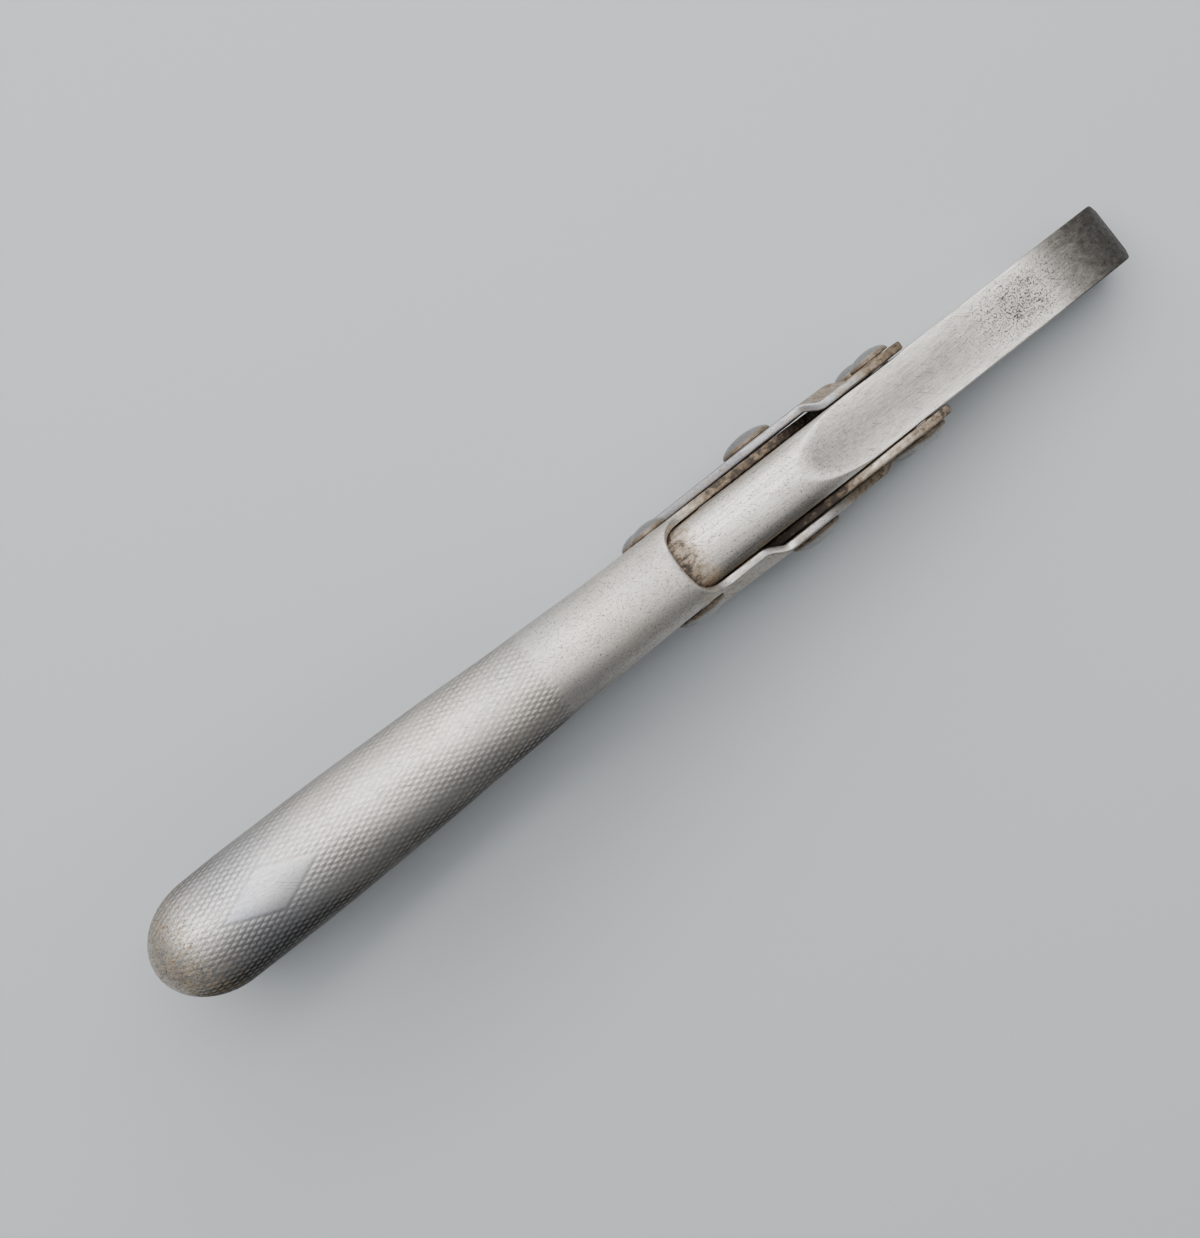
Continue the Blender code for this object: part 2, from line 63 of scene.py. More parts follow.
# Jaws, in mm
JAW_HALF = 4.65
JAW_TOP = 11.5
JAW_CROWN = 2.4
NOSE_REACH = 59.5
TIP_HEIGHT = 2.3
LEAST_DEPTH = 0.3  # between the back and the grip face
FLAT_START = 0.4  # where the back is ground off
FLAT_RAMP = 11.2  # length and drop of its first, steeper stretch
FLAT_DROP = 2.25
BACK_DROP = 2.1  # drop of the long flat
NOSE_LENGTH = 11.5
NOSE_FULL = 0.8  # share of the nose that its shoulder takes up
RAMP_EASE = 0.6  # softness of the bend in the ground back
FLAT_EASE = 0.06  # softness of its edge on the half-round
TAIL_END = -24.8
TAIL_RELIEF = 1.5
TEETH_START = 14.0
RECESS_START = 27.0
RECESS_LENGTH = 18.0
RECESS_DEPTH = 3.5
TOOTH_PITCH = 1.3
TOOTH_DEPTH = 0.5
GRIP_GAP = 0.15
SLOT_TRAVEL = 5.0
SHANK_RADIUS = 2.1
PIN_PLAY = 0.15
JAW_EDGE = 0.22  # worn radius of the back's long edges
GRIP_EDGE = 0.12  # and of the grip face's
TIP_CORNER = 0.9  # rounded corners of the tip
TAIL_CORNER = 1.4
TAIL_EDGE = 0.5
END_STEPS = (0.05, 0.12)  # steps by which an end bulges
END_DRAW = 0.8  # share it draws in for each mm

# Handles, in mm
SHEET = 1.25
SIDE_PLAY = 0.2
SHELL_PLAY = 0.55
CHEEK_IN = JAW_HALF + SIDE_PLAY
CHEEK_OUT = CHEEK_IN + SHEET
JOGGLE = SHEET + SIDE_PLAY
HANDLE_REACH = 105.5
END_ROUND = 9.5
END_ARC = END_ROUND * 1.35  # length given to the domed end along the sheet
END_CORNER = 2.5
END_LEAD = 4.0  # how far ahead of the domed end the free edge starts to rise
BOW_RISE = 9.3
BOW_CREST = 0.82
BOW_SWELL = 1.65
SWELL_CREST = 0.9
RIM_TOP = JAW_TOP + SHELL_PLAY + SHEET
RIM_ARCH = 3.6
END_ARCH = 6.4
RIM_X = -PIN_REACH - 0.7
RIM_CORNER = np.array([RIM_X + 2.1, 5.9])  # where the rim meets the cheeks' top edges, in (x, q)
RIM_DEPTH = 13.0
GRIP_DEPTH = 9.8
DRAW_UP = 0.45  # share of the shell over which the free edge draws up
CHEEK_RADIUS = 7.4
BOSS_RADIUS = 4.8
ROOT = np.array([2.4 - PIN_REACH, 0.35])
WAIST_X = PIN_REACH - 7.2
WAIST_PLAY = 1.0
BEND_PLAY = 1.0
BEND_RAMP = 2.6
REAR_BEND_SPLAY = math.radians(7.0)
FRONT_BEND_SLOPE = math.radians(46.0)
FRONT_BEND_PLAY = 2.4
SHEET_EDGE = 0.3  # rounded edge of the sheet
SHELL_LENGTH = HANDLE_REACH - END_ROUND + RIM_X
SHELL_BACK = RIM_X - SHELL_LENGTH  # where the domed end starts

# Hand-worn unevenness of the handles, in mm. Wave lengths are mm to a radian.
UNEVEN = 0.05  # its height
UNEVEN_FADE = 12.0  # length behind the rim over which it grows
WAVE_BEND = 1.3  # radians by which the waves bend
LIFT_WAVES = (1.9, 2.4, 2.9, 7.0)
SHIFT_WAVES = (2.6, 3.3, 2.2)

# Checkering, in mm: two families of grooves that cross at a flat angle
DIAMOND_LENGTH = 1.73
DIAMOND_WIDTH = 0.80
GROOVE_DEPTH = 0.065
GROOVE_SHARE = 0.24  # groove's half width as a share of the pitch
GROOVE_WAVES = (3.7, 2.1, 1.9, 9.0)
GROOVE_WEAR = 0.28  # share of the depth that these waves of wear change
GRIP_FRONT = -42.6  # front end of the checkering
GRIP_LEAD = 0.3  # how far the fine skin runs on past it
LOZENGE_X = -87.4  # plain lozenge left in the checkering
LOZENGE_LONG = 7.2
LOZENGE_WIDE = 3.3
LOZENGE_EASE = 0.05  # width of its border, as a share of its half size
BORDER_DEPTH = 0.7  # fine groove round it, as a share of the checkering's depth

# Rivets, in mm
HEAD_PLAY = 0.15
PIVOT_HEAD = (4.0, 1.55)
JAW_HEAD = (3.15, 1.5)
GUIDE_HEAD = (2.9, 1.45)
PIVOT_SHANK = 2.6
HEAD_LIP = 0.06  # share of a dome's height that its lip takes up
LIP_DRAW = 0.08  # how far the lip draws in at its seat
PIVOT_FLUSH = 0.075  # play of a pivot rivet's inner end
PIVOT_SPREAD = (0.45, 0.6)  # how far it is spread, and over which length

# Wear and painted shade, in mm and as shares from 0 to 1
# Side -1's heavier share is painted shade on the wall turned away from the lights
WALL_TARNISH_AND_SHADE = {1: (0.3, 6.0), -1: (0.75, 3.9)}  # by side: share, and where it starts round the section
TARNISH_EASE = 4.5  # length over which it grows to its share
CHEEK_TARNISH = 0.25
RIM_LEAD = 2.0  # how far behind the rim the cheek's share starts to give way
RIM_FADE = 20.0  # and the length over which the wall's takes over
LOW_WALL = (0.48, 0.3)  # start and length of the dirty low wall, as shares of the section
FACE_DEPTH = 0.4  # depth that counts as part of a jaw's face
RAMP_LEAD = 1.0  # how far behind the ground back its edge can lie

# Grid sizes
FINE = 3  # fine rows of the checkered skin to one row of the rest
ROWS = 40
ARCH_ROWS = 16  # rows that end at the shell's rim
ROW_SHARES = np.linspace(0.0, 1.0, ROWS + 1)
WALL_SHARES = np.linspace(0.0, 1.0, ROWS - ARCH_ROWS + 1)
END_COLUMNS = 40
GRIP_STEP = DIAMOND_LENGTH / 6
SHELL_COLUMNS = 26
LATE_LEAN = 6  # power that keeps the shell's columns straight until near the rim
CHEEK_COLUMNS = 96
EDGE_STEPS = 4
ARC_SAMPLES = 160
QUARTER = np.linspace(0.0, math.pi / 2, ARC_SAMPLES)
SLOPE_STEP = 0.02  # step in mm over which a slope is taken
POLE_SHORT = 0.985  # share of the domed end up to which slopes are taken
TINY = 1e-9
MERGE = 2e-6  # in metres: points that are one, and edges that are none
SLIVER = 1e-7
BACK_POINTS = 61  # points of a jaw's section over its back and down a side
GRIP_SKIP = 4  # points over the back to one of the grip face
SIDE_POINTS = 7
NOSE_POINTS = 80
HOLE_POINTS = 25  # points to half a circle
DOME_POINTS = 20
RIVET_SIDES = 96
SHARP_ANGLE = math.radians(40.0)

# Patterns of worn steel: grain in mm, how far it is drawn out along the tool, detail, harshness, turn.
# The true scratches and pits are finer, and are drawn just coarse enough to show.
CLOUDS = (7.0, 1.8, 5.0, 0.55, 0.0)
SCRATCHES = (0.16, 40.0, 2.0, 0.5, 0.7)
BLOTCHES = (0.8, 1.5, 6.0, 0.7, 0.0)
PITS = (0.24, 1.0, 4.0, 0.65, 0.0)
HANDLE_LINES = (0.2, 6.0, 3.0, 0.6, 0.0)
JAW_LINES = (0.17, 40.0, 3.0, 0.6, 0.0)
RIVET_LINES = (0.2, 1.0, 3.0, 0.6, 0.0)
RELIEF = 0.05  # height in mm of the lines and depth of the pits
RANGE = "ShaderNodeMapRange"
MATH = "ShaderNodeMath"
MIX = "ShaderNodeMix"
SHARE, UNDER, OVER, MIXED = 0, 6, 7, 2  # a colour Mix node's inputs and output

# Stage: lights by place, aim and size in metres and power in watts
LIGHTS = {
    "ceiling": ((0.0, 0.325, 0.75), (0.0, 0.325, 0.0), (1.4, 1.15), 3.3),
    "window": ((0.1, 0.95, 0.34), (0.1, 0.0, 0.02), (1.7, 0.62), 6.0),
    "key": ((0.1, 0.31, 0.72), (0.1, 0.0, 0.02), (1.3, 0.68), 13.0),
    "front": ((0.62, -0.22, 0.7), (0.0, 0.0, 0.03), (0.5, 0.45), 1.2),
}
SURROUND = 0.22
TABLE_REACH = 3.0

# Camera: straight above, in mm and in pixels of the 1200 x 1238 frame
PHOTO_WIDTH = 1200.0
FOCAL_PIXELS = 2360.0
SENSOR_WIDTH = 36.0
NEAREST = 10.0
CAMERA_HEIGHT = 340.0
CAMERA_AHEAD = -30.9  # where its axis meets the tool, along X from the pivot
CAMERA_ASIDE = 1.2  # and to the left
PHOTO_TURN = math.radians(38.04)  # the tool's direction in the picture


def to_frame(points):
    """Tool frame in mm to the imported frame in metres: a turn by the tilt about Y, then the pivot."""
    c, s = math.cos(TILT), math.sin(TILT)
    turn = np.array([[c, 0.0, s], [0.0, 1.0, 0.0], [-s, 0.0, c]])
    return (points @ turn.T + PIVOT) * TO_METRES


def lower(points):
    """Place of the lower piece of a pair: the upper one after half a turn about X."""
    return to_frame(points * np.array([1.0, -1.0, -1.0]))


def smooth_step(t):
    """0 below 0, 1 above 1, and an even S between."""
    t = np.clip(t, 0.0, 1.0)
    return t * t * (3 - 2 * t)


def ramp(value, start, length):
    """An even S from 0 at a start to 1 a length further on, or further back where it is negative."""
    return smooth_step((value - start) / length)


def crossed_waves(along, across, lengths):
    """A sine along that a sine across bends, times a cosine across that leans along."""
    first, bend, second, lean = lengths
    return np.sin(along / first + WAVE_BEND * np.sin(across / bend)) * np.cos(across / second - along / lean)


def eased_higher(first, second, ease):
    """The higher of two, eased where they meet: their mean plus half the root of their squared
    difference and the squared ease."""
    return 0.5 * (first + second + np.sqrt((first - second) ** 2 + ease ** 2))


def arc_points(centre, radius, start, end, count):
    """Points on a circle, in degrees."""
    angle = np.radians(np.linspace(start, end, count))
    return np.stack([centre[0] + radius * np.cos(angle), centre[1] + radius * np.sin(angle)], axis=1)


def curve_through(points, steps):
    """A Catmull-Rom curve through the points."""
    knots = np.array(points, float)
    knots = np.vstack([2 * knots[0] - knots[1], knots, 2 * knots[-1] - knots[-2]])
    t = (np.arange(steps) / steps)[:, None, None]
    a, b, c, d = knots[:-3], knots[1:-2], knots[2:-1], knots[3:]
    spans = 0.5 * (2 * b + (c - a) * t + (2 * a - 5 * b + 4 * c - d) * t ** 2
                   + (3 * b - a - 3 * c + d) * t ** 3)
    return np.vstack([spans.transpose(1, 0, 2).reshape(-1, 2), knots[-2]])


def resample(line, count):
    """The same line with its points evenly spaced along its length."""
    steps = np.linalg.norm(np.diff(line, axis=0), axis=1)
    along = np.concatenate([[0.0], np.cumsum(steps)])
    wanted = np.linspace(0.0, along[-1], count)
    return np.stack([np.interp(wanted, along, line[:, k]) for k in range(line.shape[1])], axis=1)


def inset(line, distance, turn):
    """A line moved sideways by a distance, to the left of its way for a turn of 1."""
    way = np.gradient(line, axis=0)
    way /= np.linalg.norm(way, axis=1, keepdims=True)
    return line + turn * distance * np.stack([-way[:, 1], way[:, 0]], axis=1)


def grid_faces(columns, rows):
    """Quads of a grid of columns by rows."""
    first = np.arange(columns - 1)[:, None] * rows + np.arange(rows - 1)
    return np.stack([first, first + 1, first + rows + 1, first + rows], axis=-1).reshape(-1, 4)


class Skin:
    """Patches of surface that share their borders, gathered into one mesh."""

    def __init__(self):
        self.points = []
        self.faces = []
        self.wear_and_painted_light = []
        self.count = 0

    def add(self, points, faces, grime=0.0, tarnish=0.0, pits=0.0, sky_reflection=0.0):
        """Add points, faces that index them, and each point's shares of wear and painted shade, and of a
        painted blue sky reflection.
        """
        self.points.append(points.reshape(-1, 3))
        self.faces.append(faces + self.count)
        shares = [np.broadcast_to(share, points.shape[:-1]) for share in (grime, tarnish, pits, sky_reflection)]
        self.wear_and_painted_light.append(np.stack(shares, axis=-1).reshape(-1, 4))
        self.count += points.size // 3

    def add_grid(self, points, flip=False, **shares):
        """Add a grid of points as quads, turned over where its rows run the other way."""
        faces = grid_faces(points.shape[0], points.shape[1])
        self.add(points, faces[:, ::-1] if flip else faces, **shares)

    def mesh(self, name, place):
        """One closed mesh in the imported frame, with the patches' shared points merged."""
        points = place(np.concatenate(self.points))
        faces = list(chain.from_iterable(patch.tolist() for patch in self.faces))
        mesh = bpy.data.meshes.new(name)
        mesh.from_pydata(points.tolist(), [], faces)
        attribute = mesh.attributes.new("wear_and_painted_light", "FLOAT_COLOR", "POINT")
        attribute.data.foreach_set("color", np.concatenate(self.wear_and_painted_light).astype(np.float32).ravel())
        shape = bmesh.new()
        shape.from_mesh(mesh)
        bmesh.ops.remove_doubles(shape, verts=shape.verts, dist=MERGE)
        bmesh.ops.dissolve_degenerate(shape, edges=shape.edges, dist=SLIVER)
        bmesh.ops.recalc_face_normals(shape, faces=shape.faces)
        shape.to_mesh(mesh)
        shape.free()
        mesh.shade_smooth()
        return mesh


def new_object(name, data):
    """A new object in the scene, at the origin."""
    item = bpy.data.objects.new(name, data)
    bpy.context.scene.collection.objects.link(item)
    return item


def piece(mesh, body, node, material):
    """A finished piece that rides on a body and stands for a node of the frame."""
    item = new_object("dressed_" + node, mesh)
    mesh.materials.append(material)
    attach(item, body)
    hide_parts(node)


# The handle's sheet is a surface of two parameters: a along the handle and q around it.
# From the rim forwards and back to SHELL_BACK, a is X. Behind that a goes on round the
# domed end. q is the length round the section from the middle of the back.


def shell_share(x):
    """Share of the shell's length behind the rim, 0 ahead of it."""
    return np.clip((RIM_X - x) / SHELL_LENGTH, 0.0, 1.0)


def shell_height(x):
    """Height of the handle's back: a sine that crests behind the middle."""
    return RIM_TOP + BOW_RISE * np.sin(shell_share(x) * math.pi / 2 / BOW_CREST)


def shell_half_width(x):
    """Outer half width: the cheeks' at the rim, swelling by half a cosine wave."""
    return CHEEK_OUT + BOW_SWELL * (1 - np.cos(shell_share(x) * math.pi / SWELL_CREST)) / 2


def free_edge(x):
    """Height of the wall's free edge behind the cheeks."""
    ease = smooth_step(shell_share(x) / DRAW_UP)
    return shell_height(x) - RIM_DEPTH + (RIM_DEPTH - GRIP_DEPTH) * ease


def section_sizes(a):
    """X, half width, arch depth and spring height of the section at a."""
    round_end = np.clip((SHELL_BACK - a) / END_ARC, 0.0, 1.0) * math.pi / 2
    x = np.maximum(a, SHELL_BACK) - END_ROUND * np.sin(round_end)
    flat_x = np.maximum(a, SHELL_BACK)
    arch = RIM_ARCH + (END_ARCH - RIM_ARCH) * shell_share(flat_x)
    spring = shell_height(flat_x) - arch
    shrink = np.cos(round_end)
    return x, shell_half_width(flat_x) * shrink, arch * shrink, spring


def arch_lengths(half_width, arch):
    """Lengths along a section's quarter ellipse, from the middle of the back to the wall."""
    speed = np.sqrt((half_width[..., None] * np.cos(QUARTER)) ** 2
                    + (arch[..., None] * np.sin(QUARTER)) ** 2)
    along = np.cumsum(speed[..., :-1], axis=-1) * QUARTER[1]
    return np.concatenate([np.zeros(along.shape[:-1] + (1,)), along], axis=-1)


def rear_slope():
    """Slope of the cheek's lower edge from the root to the circle round the pivot."""
    return math.asin(CHEEK_RADIUS / math.hypot(*ROOT)) + math.atan2(ROOT[1], -ROOT[0])


def bend_lines():
    """Each bend of the joggled cheek: a point of its inner line and the way into the joggle."""
    slope = rear_slope() + REAR_BEND_SPLAY
    rear = np.array([ROOT[0] - BEND_PLAY, 0.0]), np.array([math.sin(slope), -math.cos(slope)])
    front = (np.array([WAIST_X + FRONT_BEND_PLAY, 0.0]),
             np.array([-math.sin(FRONT_BEND_SLOPE), math.cos(FRONT_BEND_SLOPE)]))
    return rear, front


def joggle(x, z):
    """Outward offset of the joggled cheek: an S over each bend, whole between them."""
    past = np.min([(x - p[0]) * n[0] + (z - p[1]) * n[1] for p, n in bend_lines()], axis=0)
    return JOGGLE * smooth_step(1.0 + past / BEND_RAMP)


def sheet_point(a, q, side):
    """Outer skin of one half: along the quarter ellipse, then straight down the wall.

    The angle on the ellipse comes from its length by interpolation in each section.
    """
    shape = np.broadcast_shapes(np.shape(a), np.shape(q))
    a = np.broadcast_to(a, shape).ravel()
    q = np.broadcast_to(q, shape).ravel()
    x, half_width, arch, spring = section_sizes(a)
    along = arch_lengths(half_width, arch)
    index = np.clip((along < q[:, None]).sum(1), 1, ARC_SAMPLES - 1)
    pick = np.arange(len(a))
    before, after = along[pick, index - 1], along[pick, index]
    part = np.clip((q - before) / np.maximum(after - before, TINY), 0.0, 1.0)
    angle = QUARTER[index - 1] + part * QUARTER[1]
    down = np.maximum(0.0, q - along[:, -1])
    y = half_width * np.sin(angle)
    z = spring + arch * np.cos(angle) - down
    if side < 0:
        y = y + joggle(x, z) * (down > 0)
    return np.stack([x, side * y, z], axis=-1).reshape(*shape, 3)


def sheet_normal(a, q, side):
    """Outward normal of the outer skin, from the cross product of its two slopes."""
    a = np.maximum(a, SHELL_BACK - END_ARC * POLE_SHORT)
    across = np.maximum(q, SLOPE_STEP)
    along = sheet_point(a + SLOPE_STEP, across, side) - sheet_point(a - SLOPE_STEP, across, side)
    round_it = sheet_point(a, across + SLOPE_STEP, side) - sheet_point(a, across - SLOPE_STEP, side)
    normal = side * np.cross(along, round_it)
    on_middle = np.broadcast_to(np.asarray(q) < SLOPE_STEP, normal.shape[:-1])
    normal[on_middle, 1] = 0.0
    return normal / np.maximum(np.linalg.norm(normal, axis=-1, keepdims=True), TINY)


def sheet_skin(a, q, side, depth=0.0):
    """A point of the sheet at a depth under its outer skin."""
    return sheet_point(a, q, side) - sheet_normal(a, q, side) * np.asarray(depth)[..., None]


def wall_foot(a):
    """q of the free edge at a, which rises in an even S up to and round the domed end."""
    x, half_width, arch, spring = section_sizes(a)
    into_end = ramp(a, SHELL_BACK + END_LEAD, -(END_LEAD + END_ARC))
    low = free_edge(np.maximum(x, SHELL_BACK)) + END_CORNER * into_end
    return arch_lengths(half_width, arch)[..., -1] + spring - low


def flat_q(z):
    """q on the plain wall ahead of the rim, at a height z."""
    rim_arc = arch_lengths(np.array(CHEEK_OUT), np.array(RIM_ARCH))[-1]
    return rim_arc + RIM_TOP - RIM_ARCH - z


def cheek_top_line():
    """Top edge of a cheek in (x, q), from the rim's corner over the waist to the boss's tip."""
    drawn = curve_through([(-0.8 * CHEEK_RADIUS, 1.17 * CHEEK_RADIUS),
                           (0.3 * CHEEK_RADIUS, 0.92 * CHEEK_RADIUS),
                           (WAIST_X - 4.3, 0.3 * CHEEK_RADIUS),
                           (WAIST_X, -WAIST_PLAY),
                           (PIN_REACH, BOSS_RADIUS - PIN_RISE)], steps=12)
    boss = arc_points((PIN_REACH, -PIN_RISE), BOSS_RADIUS, 90, 0, count=24)[1:]
    line = np.vstack([drawn, boss])
    line[:, 1] = flat_q(line[:, 1])
    lead = RIM_CORNER + np.array([[0.0, 0.0], [0.7, 0.6], [1.7, 1.15], [3.6, 1.7]])
    start = curve_through(np.vstack([lead, line[:1]]), steps=8)
    return np.vstack([start[:-1], line])


def cheek_foot_line(start_x):
    """Lower edge of a cheek in (x, q), from below the rim round the pivot to the boss's tip."""
    rear = np.linspace((start_x, free_edge(start_x)), ROOT, num=6)
    leaves_root = -90 - math.degrees(rear_slope())
    round_pivot = arc_points((0.0, 0.0), CHEEK_RADIUS, leaves_root, -80, count=14)
    boss = arc_points((PIN_REACH, -PIN_RISE), BOSS_RADIUS, -105, 0, count=30)
    line = np.vstack([rear, round_pivot, boss])
    line[:, 1] = flat_q(line[:, 1])
    return line


def rim_line():
    """The rim in (x, q): a hollow curve over the back that turns round at its corner."""
    q = np.linspace(0.0, RIM_CORNER[1], ARCH_ROWS + 1)
    t = q / RIM_CORNER[1]
    return np.stack([RIM_X + (RIM_CORNER[0] - RIM_X) * (t ** 2 + t ** 5) / 2, q], axis=1)


def edge_strip(border, inner, side):
    """The sheet's rounded edge: a quarter circle, the flat edge and a quarter circle back.

    border is the true edge in (x, q) and inner the same line moved in by the edge's radius.
    """
    angle = np.linspace(0.0, math.pi / 2, EDGE_STEPS + 1)
    reach = np.concatenate([np.sin(angle), np.sin(angle[::-1])])
    sunk = SHEET_EDGE * (1 - np.cos(angle))
    depth = np.concatenate([sunk, SHEET - sunk[::-1]])
    place = inner[:, None, :] + (border - inner)[:, None, :] * reach[None, :, None]
    return sheet_skin(place[..., 0], place[..., 1], side, depth)


def lozenge_margin(x, q):
    """How far inside the plain lozenge a point lies.

    It is 1 at the lozenge's middle, 0 on its border and less than 0 outside.
    """
    return 1 - np.abs(x - LOZENGE_X) / LOZENGE_LONG - q / LOZENGE_WIDE


def lozenge_share(x, q):
    """1 on the plain lozenge and 0 off it, eased over a narrow band inside its border."""
    return smooth_step(lozenge_margin(x, q) / LOZENGE_EASE)


def checkering(a, p, foot):
    """Depth of the checkering at a along and a share p round the section.

    Two families of V grooves lie at whole numbers of a over the diamond's length plus or
    minus q over its width. A lozenge stays plain inside a fine groove, whole diamonds end
    the grip in a zigzag, and the grooves run out at the wall's foot and at the domed end.
    Slow waves of wear leave them deeper in some places than in others.
    """
    q = p * foot
    x = section_sizes(a)[0]
    phases = [a / DIAMOND_LENGTH + sign * q / DIAMOND_WIDTH for sign in (1, -1)]
    off_groove = np.min([np.abs(phase - np.round(phase)) for phase in phases], axis=0)
    depth = np.clip(1 - off_groove / GROOVE_SHARE, 0.0, 1.0)
    diamond_a = (np.floor(phases[0]) + np.floor(phases[1]) + 1) / 2 * DIAMOND_LENGTH
    border = np.clip(1 - np.abs(lozenge_margin(x, q) / LOZENGE_EASE + 0.5), 0.0, 1.0)
    depth = np.maximum(depth * (1 - lozenge_share(x, q)), BORDER_DEPTH * border)
    depth = depth * (1 - GROOVE_WEAR + GROOVE_WEAR * crossed_waves(x, q, GROOVE_WAVES))
    depth = depth * (diamond_a < GRIP_FRONT - DIAMOND_LENGTH / 2)
    return depth * ramp(p, 0.9, -0.06) * ramp(x, 0.6 - HANDLE_REACH, 2.5)


def row_lengths(a, foot):
    """q of every row at a: even along the grip, and split at the corner near the rim."""
    split = ARCH_ROWS / ROWS
    blend = ramp(a, GRIP_FRONT, RIM_X - RIM_LEAD - GRIP_FRONT)
    corner = (split * foot) * (1 - blend) + RIM_CORNER[1] * blend
    over = corner[:, None] * (ROW_SHARES / split)
    under = corner[:, None] + (foot - corner)[:, None] * (ROW_SHARES - split) / (1 - split)
    return np.where(ROW_SHARES <= split, over, under)


def shell_grid(start_a, rim_inner):
    """a and q of the plain shell, from the grip to the rim.

    Its columns start straight and lean into the rim's line. The rows over the back end at
    the rim, and the rows of the wall at the rim's corner.
    """
    corner_a, corner_q = rim_inner[-1]
    lean = np.linspace(0.0, 1.0, SHELL_COLUMNS)[:, None]
    late = lean ** LATE_LEAN
    end_a = np.concatenate([rim_inner[:, 0], np.full(ROWS - ARCH_ROWS, corner_a)])
    shell_a = start_a + lean * (end_a - start_a)
    back_a = np.linspace(start_a, RIM_CORNER[0], SHELL_COLUMNS)
    over = row_lengths(back_a, wall_foot(back_a) - SHEET_EDGE)[:, :ARCH_ROWS + 1]
    wall_a = shell_a[:, -1]
    under = row_lengths(wall_a, wall_foot(wall_a) - SHEET_EDGE)[:, ARCH_ROWS:]
    end_foot = wall_foot(np.array([corner_a]))[0] - SHEET_EDGE
    last_q = corner_q + (end_foot - corner_q) * WALL_SHARES
    over = over + late * (rim_inner[:, 1] - over[-1])
    under = under + late * (last_q - under[-1])
    return shell_a, np.concatenate([over, under[:, 1:]], axis=1)


def wall_tarnish_and_shade(a, q, side):
    """Share of tarnish and painted shade at a length q round the section: an even S down to the wall.

    Towards the rim another S takes the wall's share over to the cheek's. Side -1's larger share is painted
    shade, as that wall of the upper handle faces away from the lights.
    """
    share, start = WALL_TARNISH_AND_SHADE[side]
    share = CHEEK_TARNISH + (share - CHEEK_TARNISH) * ramp(a, RIM_X - RIM_LEAD, -RIM_FADE)
    return share * ramp(q, start, TARNISH_EASE)


def grip_wear_and_light(x, a, q, p, depth, side):
    """Wear of the grip: dirt in its grooves, low on its wall and on the domed end, and painted shade low on
    side -1's wall.

    A painted blue sky reflection lies ahead of the domed end and on the lozenge.
    """
    worn_end = ramp(x, -91.0, -12.0)
    low_wall = ramp(p, *LOW_WALL)
    to_end = ramp(x, LOZENGE_X + 3.0, -9.0)
    lozenge = lozenge_share(x, q)
    # Painted blue sky reflection ahead of the domed end
    blue_reflection = ramp(x, -76.0, -14.0) * (1 - low_wall) * (1 - worn_end)
    in_grooves = (0.55 + 0.3 * to_end) * depth
    return {"grime": 0.12 * depth + 0.44 * np.maximum(worn_end, 0.45 * low_wall),
            "tarnish": in_grooves + wall_tarnish_and_shade(a, q, side) + 0.06 + 0.08 * lozenge,
            "pits": 0.2 + 0.8 * worn_end,
            "sky_reflection": np.maximum(0.5 * blue_reflection, (0.38 + 0.42 * to_end) * lozenge)}


def shell_wear_and_shade(a, q, side):
    """Wear of the plain shell: tarnished and dirty low on its wall, with painted shade on side -1's wall,
    and dirty at the rim.
    """
    return {"grime": np.maximum(0.45 * ramp(a, RIM_X - 1.2, 1.5), 0.2 * ramp(ROW_SHARES, *LOW_WALL)),
            "tarnish": wall_tarnish_and_shade(a, q, side) + 0.04,
            "pits": 0.6}


def cheek_wear(x, side):
    """Wear of a cheek's outside, dirtier on the joggled one's low front."""
    bent_in = (side < 0) * ramp(x, 1.0, 8.0)
    return {"grime": 0.34 + 0.34 * bent_in, "tarnish": CHEEK_TARNISH + 0.2 * bent_in, "pits": 0.5}


def top_edge_wear_and_light(x, side):
    """Wear of a cheek's top edge: rust and painted shade on the straight one, dirt and painted shade where
    the joggled one drops, and a painted blue reflection on the joggled one.
    """
    joggled = float(side < 0)
    # The straight edge's rust is darkened further as painted shade in the gap beside the jaw; where the
    # joggled edge drops, dirt and painted shade
    rust_and_gap_shade = (1 - joggled) * ramp(x, RIM_CORNER[0], 10.0)
    dropped_dirt_and_shade = joggled * ramp(x, 2.0, 6.0)
    return {"grime": 0.33 + 0.6 * rust_and_gap_shade + 0.35 * dropped_dirt_and_shade,
            "tarnish": 0.65 * rust_and_gap_shade + 0.22 * joggled + 0.35 * dropped_dirt_and_shade,
            "pits": 0.5,
            "sky_reflection": 0.2 * joggled * (1 - dropped_dirt_and_shade)}


def foot_edge_wear_and_light(x, side):
    """Wear of a cheek's lower edge: dirt and painted shadow by the straight one's pivot, rust towards the
    tip, and a painted blue reflection on the joggled one.
    """
    straight = float(side > 0)
    to_tip = ramp(x, x[-1] - 15.0, 12.0)
    # Dirt and painted shadow by the straight cheek's pivot, in the gap that the jaw shades
    dirt_and_shadow_by_pivot = straight * ramp(x, 13.0, -13.0)
    grime = 0.3 + 0.2 * straight + 0.6 * dirt_and_shadow_by_pivot
    return {"grime": grime + (0.86 - grime) * to_tip,
            "tarnish": 0.4 - 0.2 * straight + 0.3 * to_tip + 0.6 * dirt_and_shadow_by_pivot,
            "pits": 0.5,
            "sky_reflection": 0.6 * (1 - straight) * (1 - to_tip)}


def stitch(skin, fine, coarse, flip, **shares):
    """One column of polygons that joins the fine rows of the grip to the rows of the shell."""
    rows = len(coarse) - 1
    step = np.arange(rows)[:, None]
    rear = step * FINE + np.arange(FINE, -1, -1)
    front = len(fine) + step + np.arange(2)
    faces = np.concatenate([front, rear], axis=1)
    skin.add(np.concatenate([fine, coarse]), faces if flip else faces[:, ::-1], **shares)


